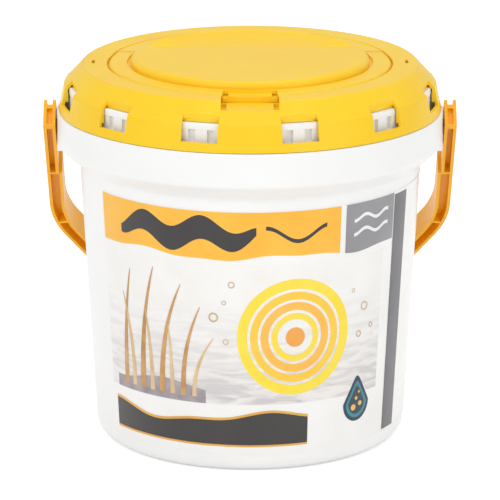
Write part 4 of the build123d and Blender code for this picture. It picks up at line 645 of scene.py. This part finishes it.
class BAIT_OT_aerator_insides(bpy.types.Operator):
    """Finish the cells, contacts, motor, pump and leads inside the case"""
    bl_idname = "bait.aerator_insides"
    bl_label = "Aerator insides"

    def execute(self, context):
        dress(["battery_left", "battery_right"], cell_jacket())
        dress(["contact_bridge", "contact_positive", "contact_negative", "motor_clamp"],
              drawn_steel("nickel_plated_strip", ("#BDB9AE", "#D0CCC2"), (1, 1, 0.2)))
        dress(["battery_springs"], drawn_steel("music_wire", ("#9B9A98", "#B3B2AF"), (1, 0.3, 1)))
        dress(["motor_can"], drawn_steel("drawn_zinc_plated_can", ("#A9ABAD", "#C0C1C2"), (1, 0.15, 1)))
        dress(["motor_shaft"], drawn_steel("ground_shaft_steel", ("#8E9093", "#A8AAAC"), (1, 0.1, 1)))
        dress(["motor_end_cap", "crank", "connecting_rod"],
              moulded_polypropylene("moulded_acetal", ("#DEDCD4", "#E8E6DF"), (0.34, 0.46)))
        dress(["power_switch", "pump_body", "pump_cap"],
              moulded_polypropylene("moulded_nylon_black", ("#1C1D1F", "#25262A"), (0.38, 0.5)))
        dress(["pump_diaphragm"], soft_rubber("moulded_diaphragm_rubber", ("#26272A", "#303134")))
        dress(["internal_air_tube"], soft_rubber("clear_vinyl_tube", ("#C4CCC8", "#D5DBD8"), (0.2, 0.3)))
        dress(["lead_battery_to_switch", "lead_switch_to_motor"],
              soft_rubber("red_vinyl_insulation", ("#A31712", "#B5211A"), (0.35, 0.45)))
        dress(["lead_motor_to_battery"],
              soft_rubber("black_vinyl_insulation", ("#141415", "#1E1E20"), (0.35, 0.45)))
        return {"FINISHED"}


class BAIT_OT_stage(bpy.types.Operator):
    """Set up the floor, the lamps, the backdrop and the camera"""
    bl_idname = "bait.stage"
    bl_label = "Stage"

    def execute(self, context):
        settings = context.scene.bait_stage
        floor_mesh = bpy.data.meshes.new("floor")
        corners = [(x * FLOOR_HALF, y * FLOOR_HALF, -FLOOR_DROP)
                   for x, y in ((-1, -1), (1, -1), (1, 1), (-1, 1))]
        floor_mesh.from_pydata(corners, [], [(0, 1, 2, 3)])
        floor = bpy.data.objects.new("floor", floor_mesh)
        context.scene.collection.objects.link(floor)
        paper, tree, shader = new_material("white_paper", Roughness=0.9)
        shader.inputs["Base Color"].default_value = linear("#FDFDFD")
        white_seen(tree, shader)
        floor_mesh.materials.append(paper)
        for name, place, size, power in LAMPS:
            lamp = bpy.data.lights.new(name, "AREA")
            lamp.size = size
            lamp.energy = power * settings.light
            lamp_object = bpy.data.objects.new(name, lamp)
            lamp_object.location = place
            lamp_object.rotation_euler = (LAMP_AIM - Vector(place)).to_track_quat("-Z", "Y").to_euler()
            context.scene.collection.objects.link(lamp_object)
        world = bpy.data.worlds.new("studio")
        context.scene.world = world
        world.use_nodes = True
        tree = world.node_tree
        tree.nodes.clear()
        rays = add_node(tree, "ShaderNodeLightPath")
        seen = add_node(tree, "ShaderNodeMath", {"operation": "MAXIMUM"},
                        _0=rays.outputs["Is Camera Ray"], _1=rays.outputs["Is Transmission Ray"])
        room = add_node(tree, "ShaderNodeBackground", Color=(1, 1, 1, 1), Strength=ROOM_LIGHT)
        white = add_node(tree, "ShaderNodeBackground", Color=(1, 1, 1, 1), Strength=1.0)
        shown = add_node(tree, "ShaderNodeMixShader",
                         _0=seen.outputs[0], _1=room.outputs[0], _2=white.outputs[0])
        add_node(tree, "ShaderNodeOutputWorld", Surface=shown.outputs[0])
        camera = bpy.data.cameras.new("camera")
        camera.sensor_width = SENSOR_MM
        camera.lens = settings.focal_length
        camera_object = bpy.data.objects.new("camera", camera)
        back = Vector((0, -cos(settings.pitch), sin(settings.pitch)))
        camera_object.location = Vector((0, 0, settings.aim_height)) + settings.distance * back
        camera_object.rotation_euler = (-back).to_track_quat("-Z", "Y").to_euler()
        context.scene.collection.objects.link(camera_object)
        context.scene.camera = camera_object
        context.scene.view_settings.view_transform = "Standard"
        return {"FINISHED"}


class BAIT_PT_panel(bpy.types.Panel):
    """List the bucket's pieces, colours and stage in the sidebar"""
    bl_idname = "BAIT_PT_panel"
    bl_label = "Bait bucket"
    bl_space_type = "VIEW_3D"
    bl_region_type = "UI"
    bl_category = "Bait bucket"

    def draw(self, context):
        for operator in OPERATORS:
            self.layout.operator(operator.bl_idname)
        for owner, group in GROUPS.items():
            for name in group.__annotations__:
                self.layout.prop(getattr(context.scene, owner), name)


OPERATORS = (BAIT_OT_pail, BAIT_OT_label, BAIT_OT_lid, BAIT_OT_bail, BAIT_OT_aerator_case,
             BAIT_OT_aerator_insides, BAIT_OT_stage)
GROUPS = {"bait_colours": BaitBucketColours, "bait_stage": BaitBucketStage}


def register():
    for group in (*GROUPS.values(), *OPERATORS, BAIT_PT_panel):
        bpy.utils.register_class(group)
    for name, group in GROUPS.items():
        setattr(bpy.types.Scene, name, bpy.props.PointerProperty(type=group))


def unregister():
    for name in GROUPS:
        delattr(bpy.types.Scene, name)
    for group in reversed((*GROUPS.values(), *OPERATORS, BAIT_PT_panel)):
        bpy.utils.unregister_class(group)


def main():
    register()
    for operator in OPERATORS:
        getattr(bpy.ops.bait, operator.bl_idname.split(".")[1])()


if __name__ == "__main__":
    main()
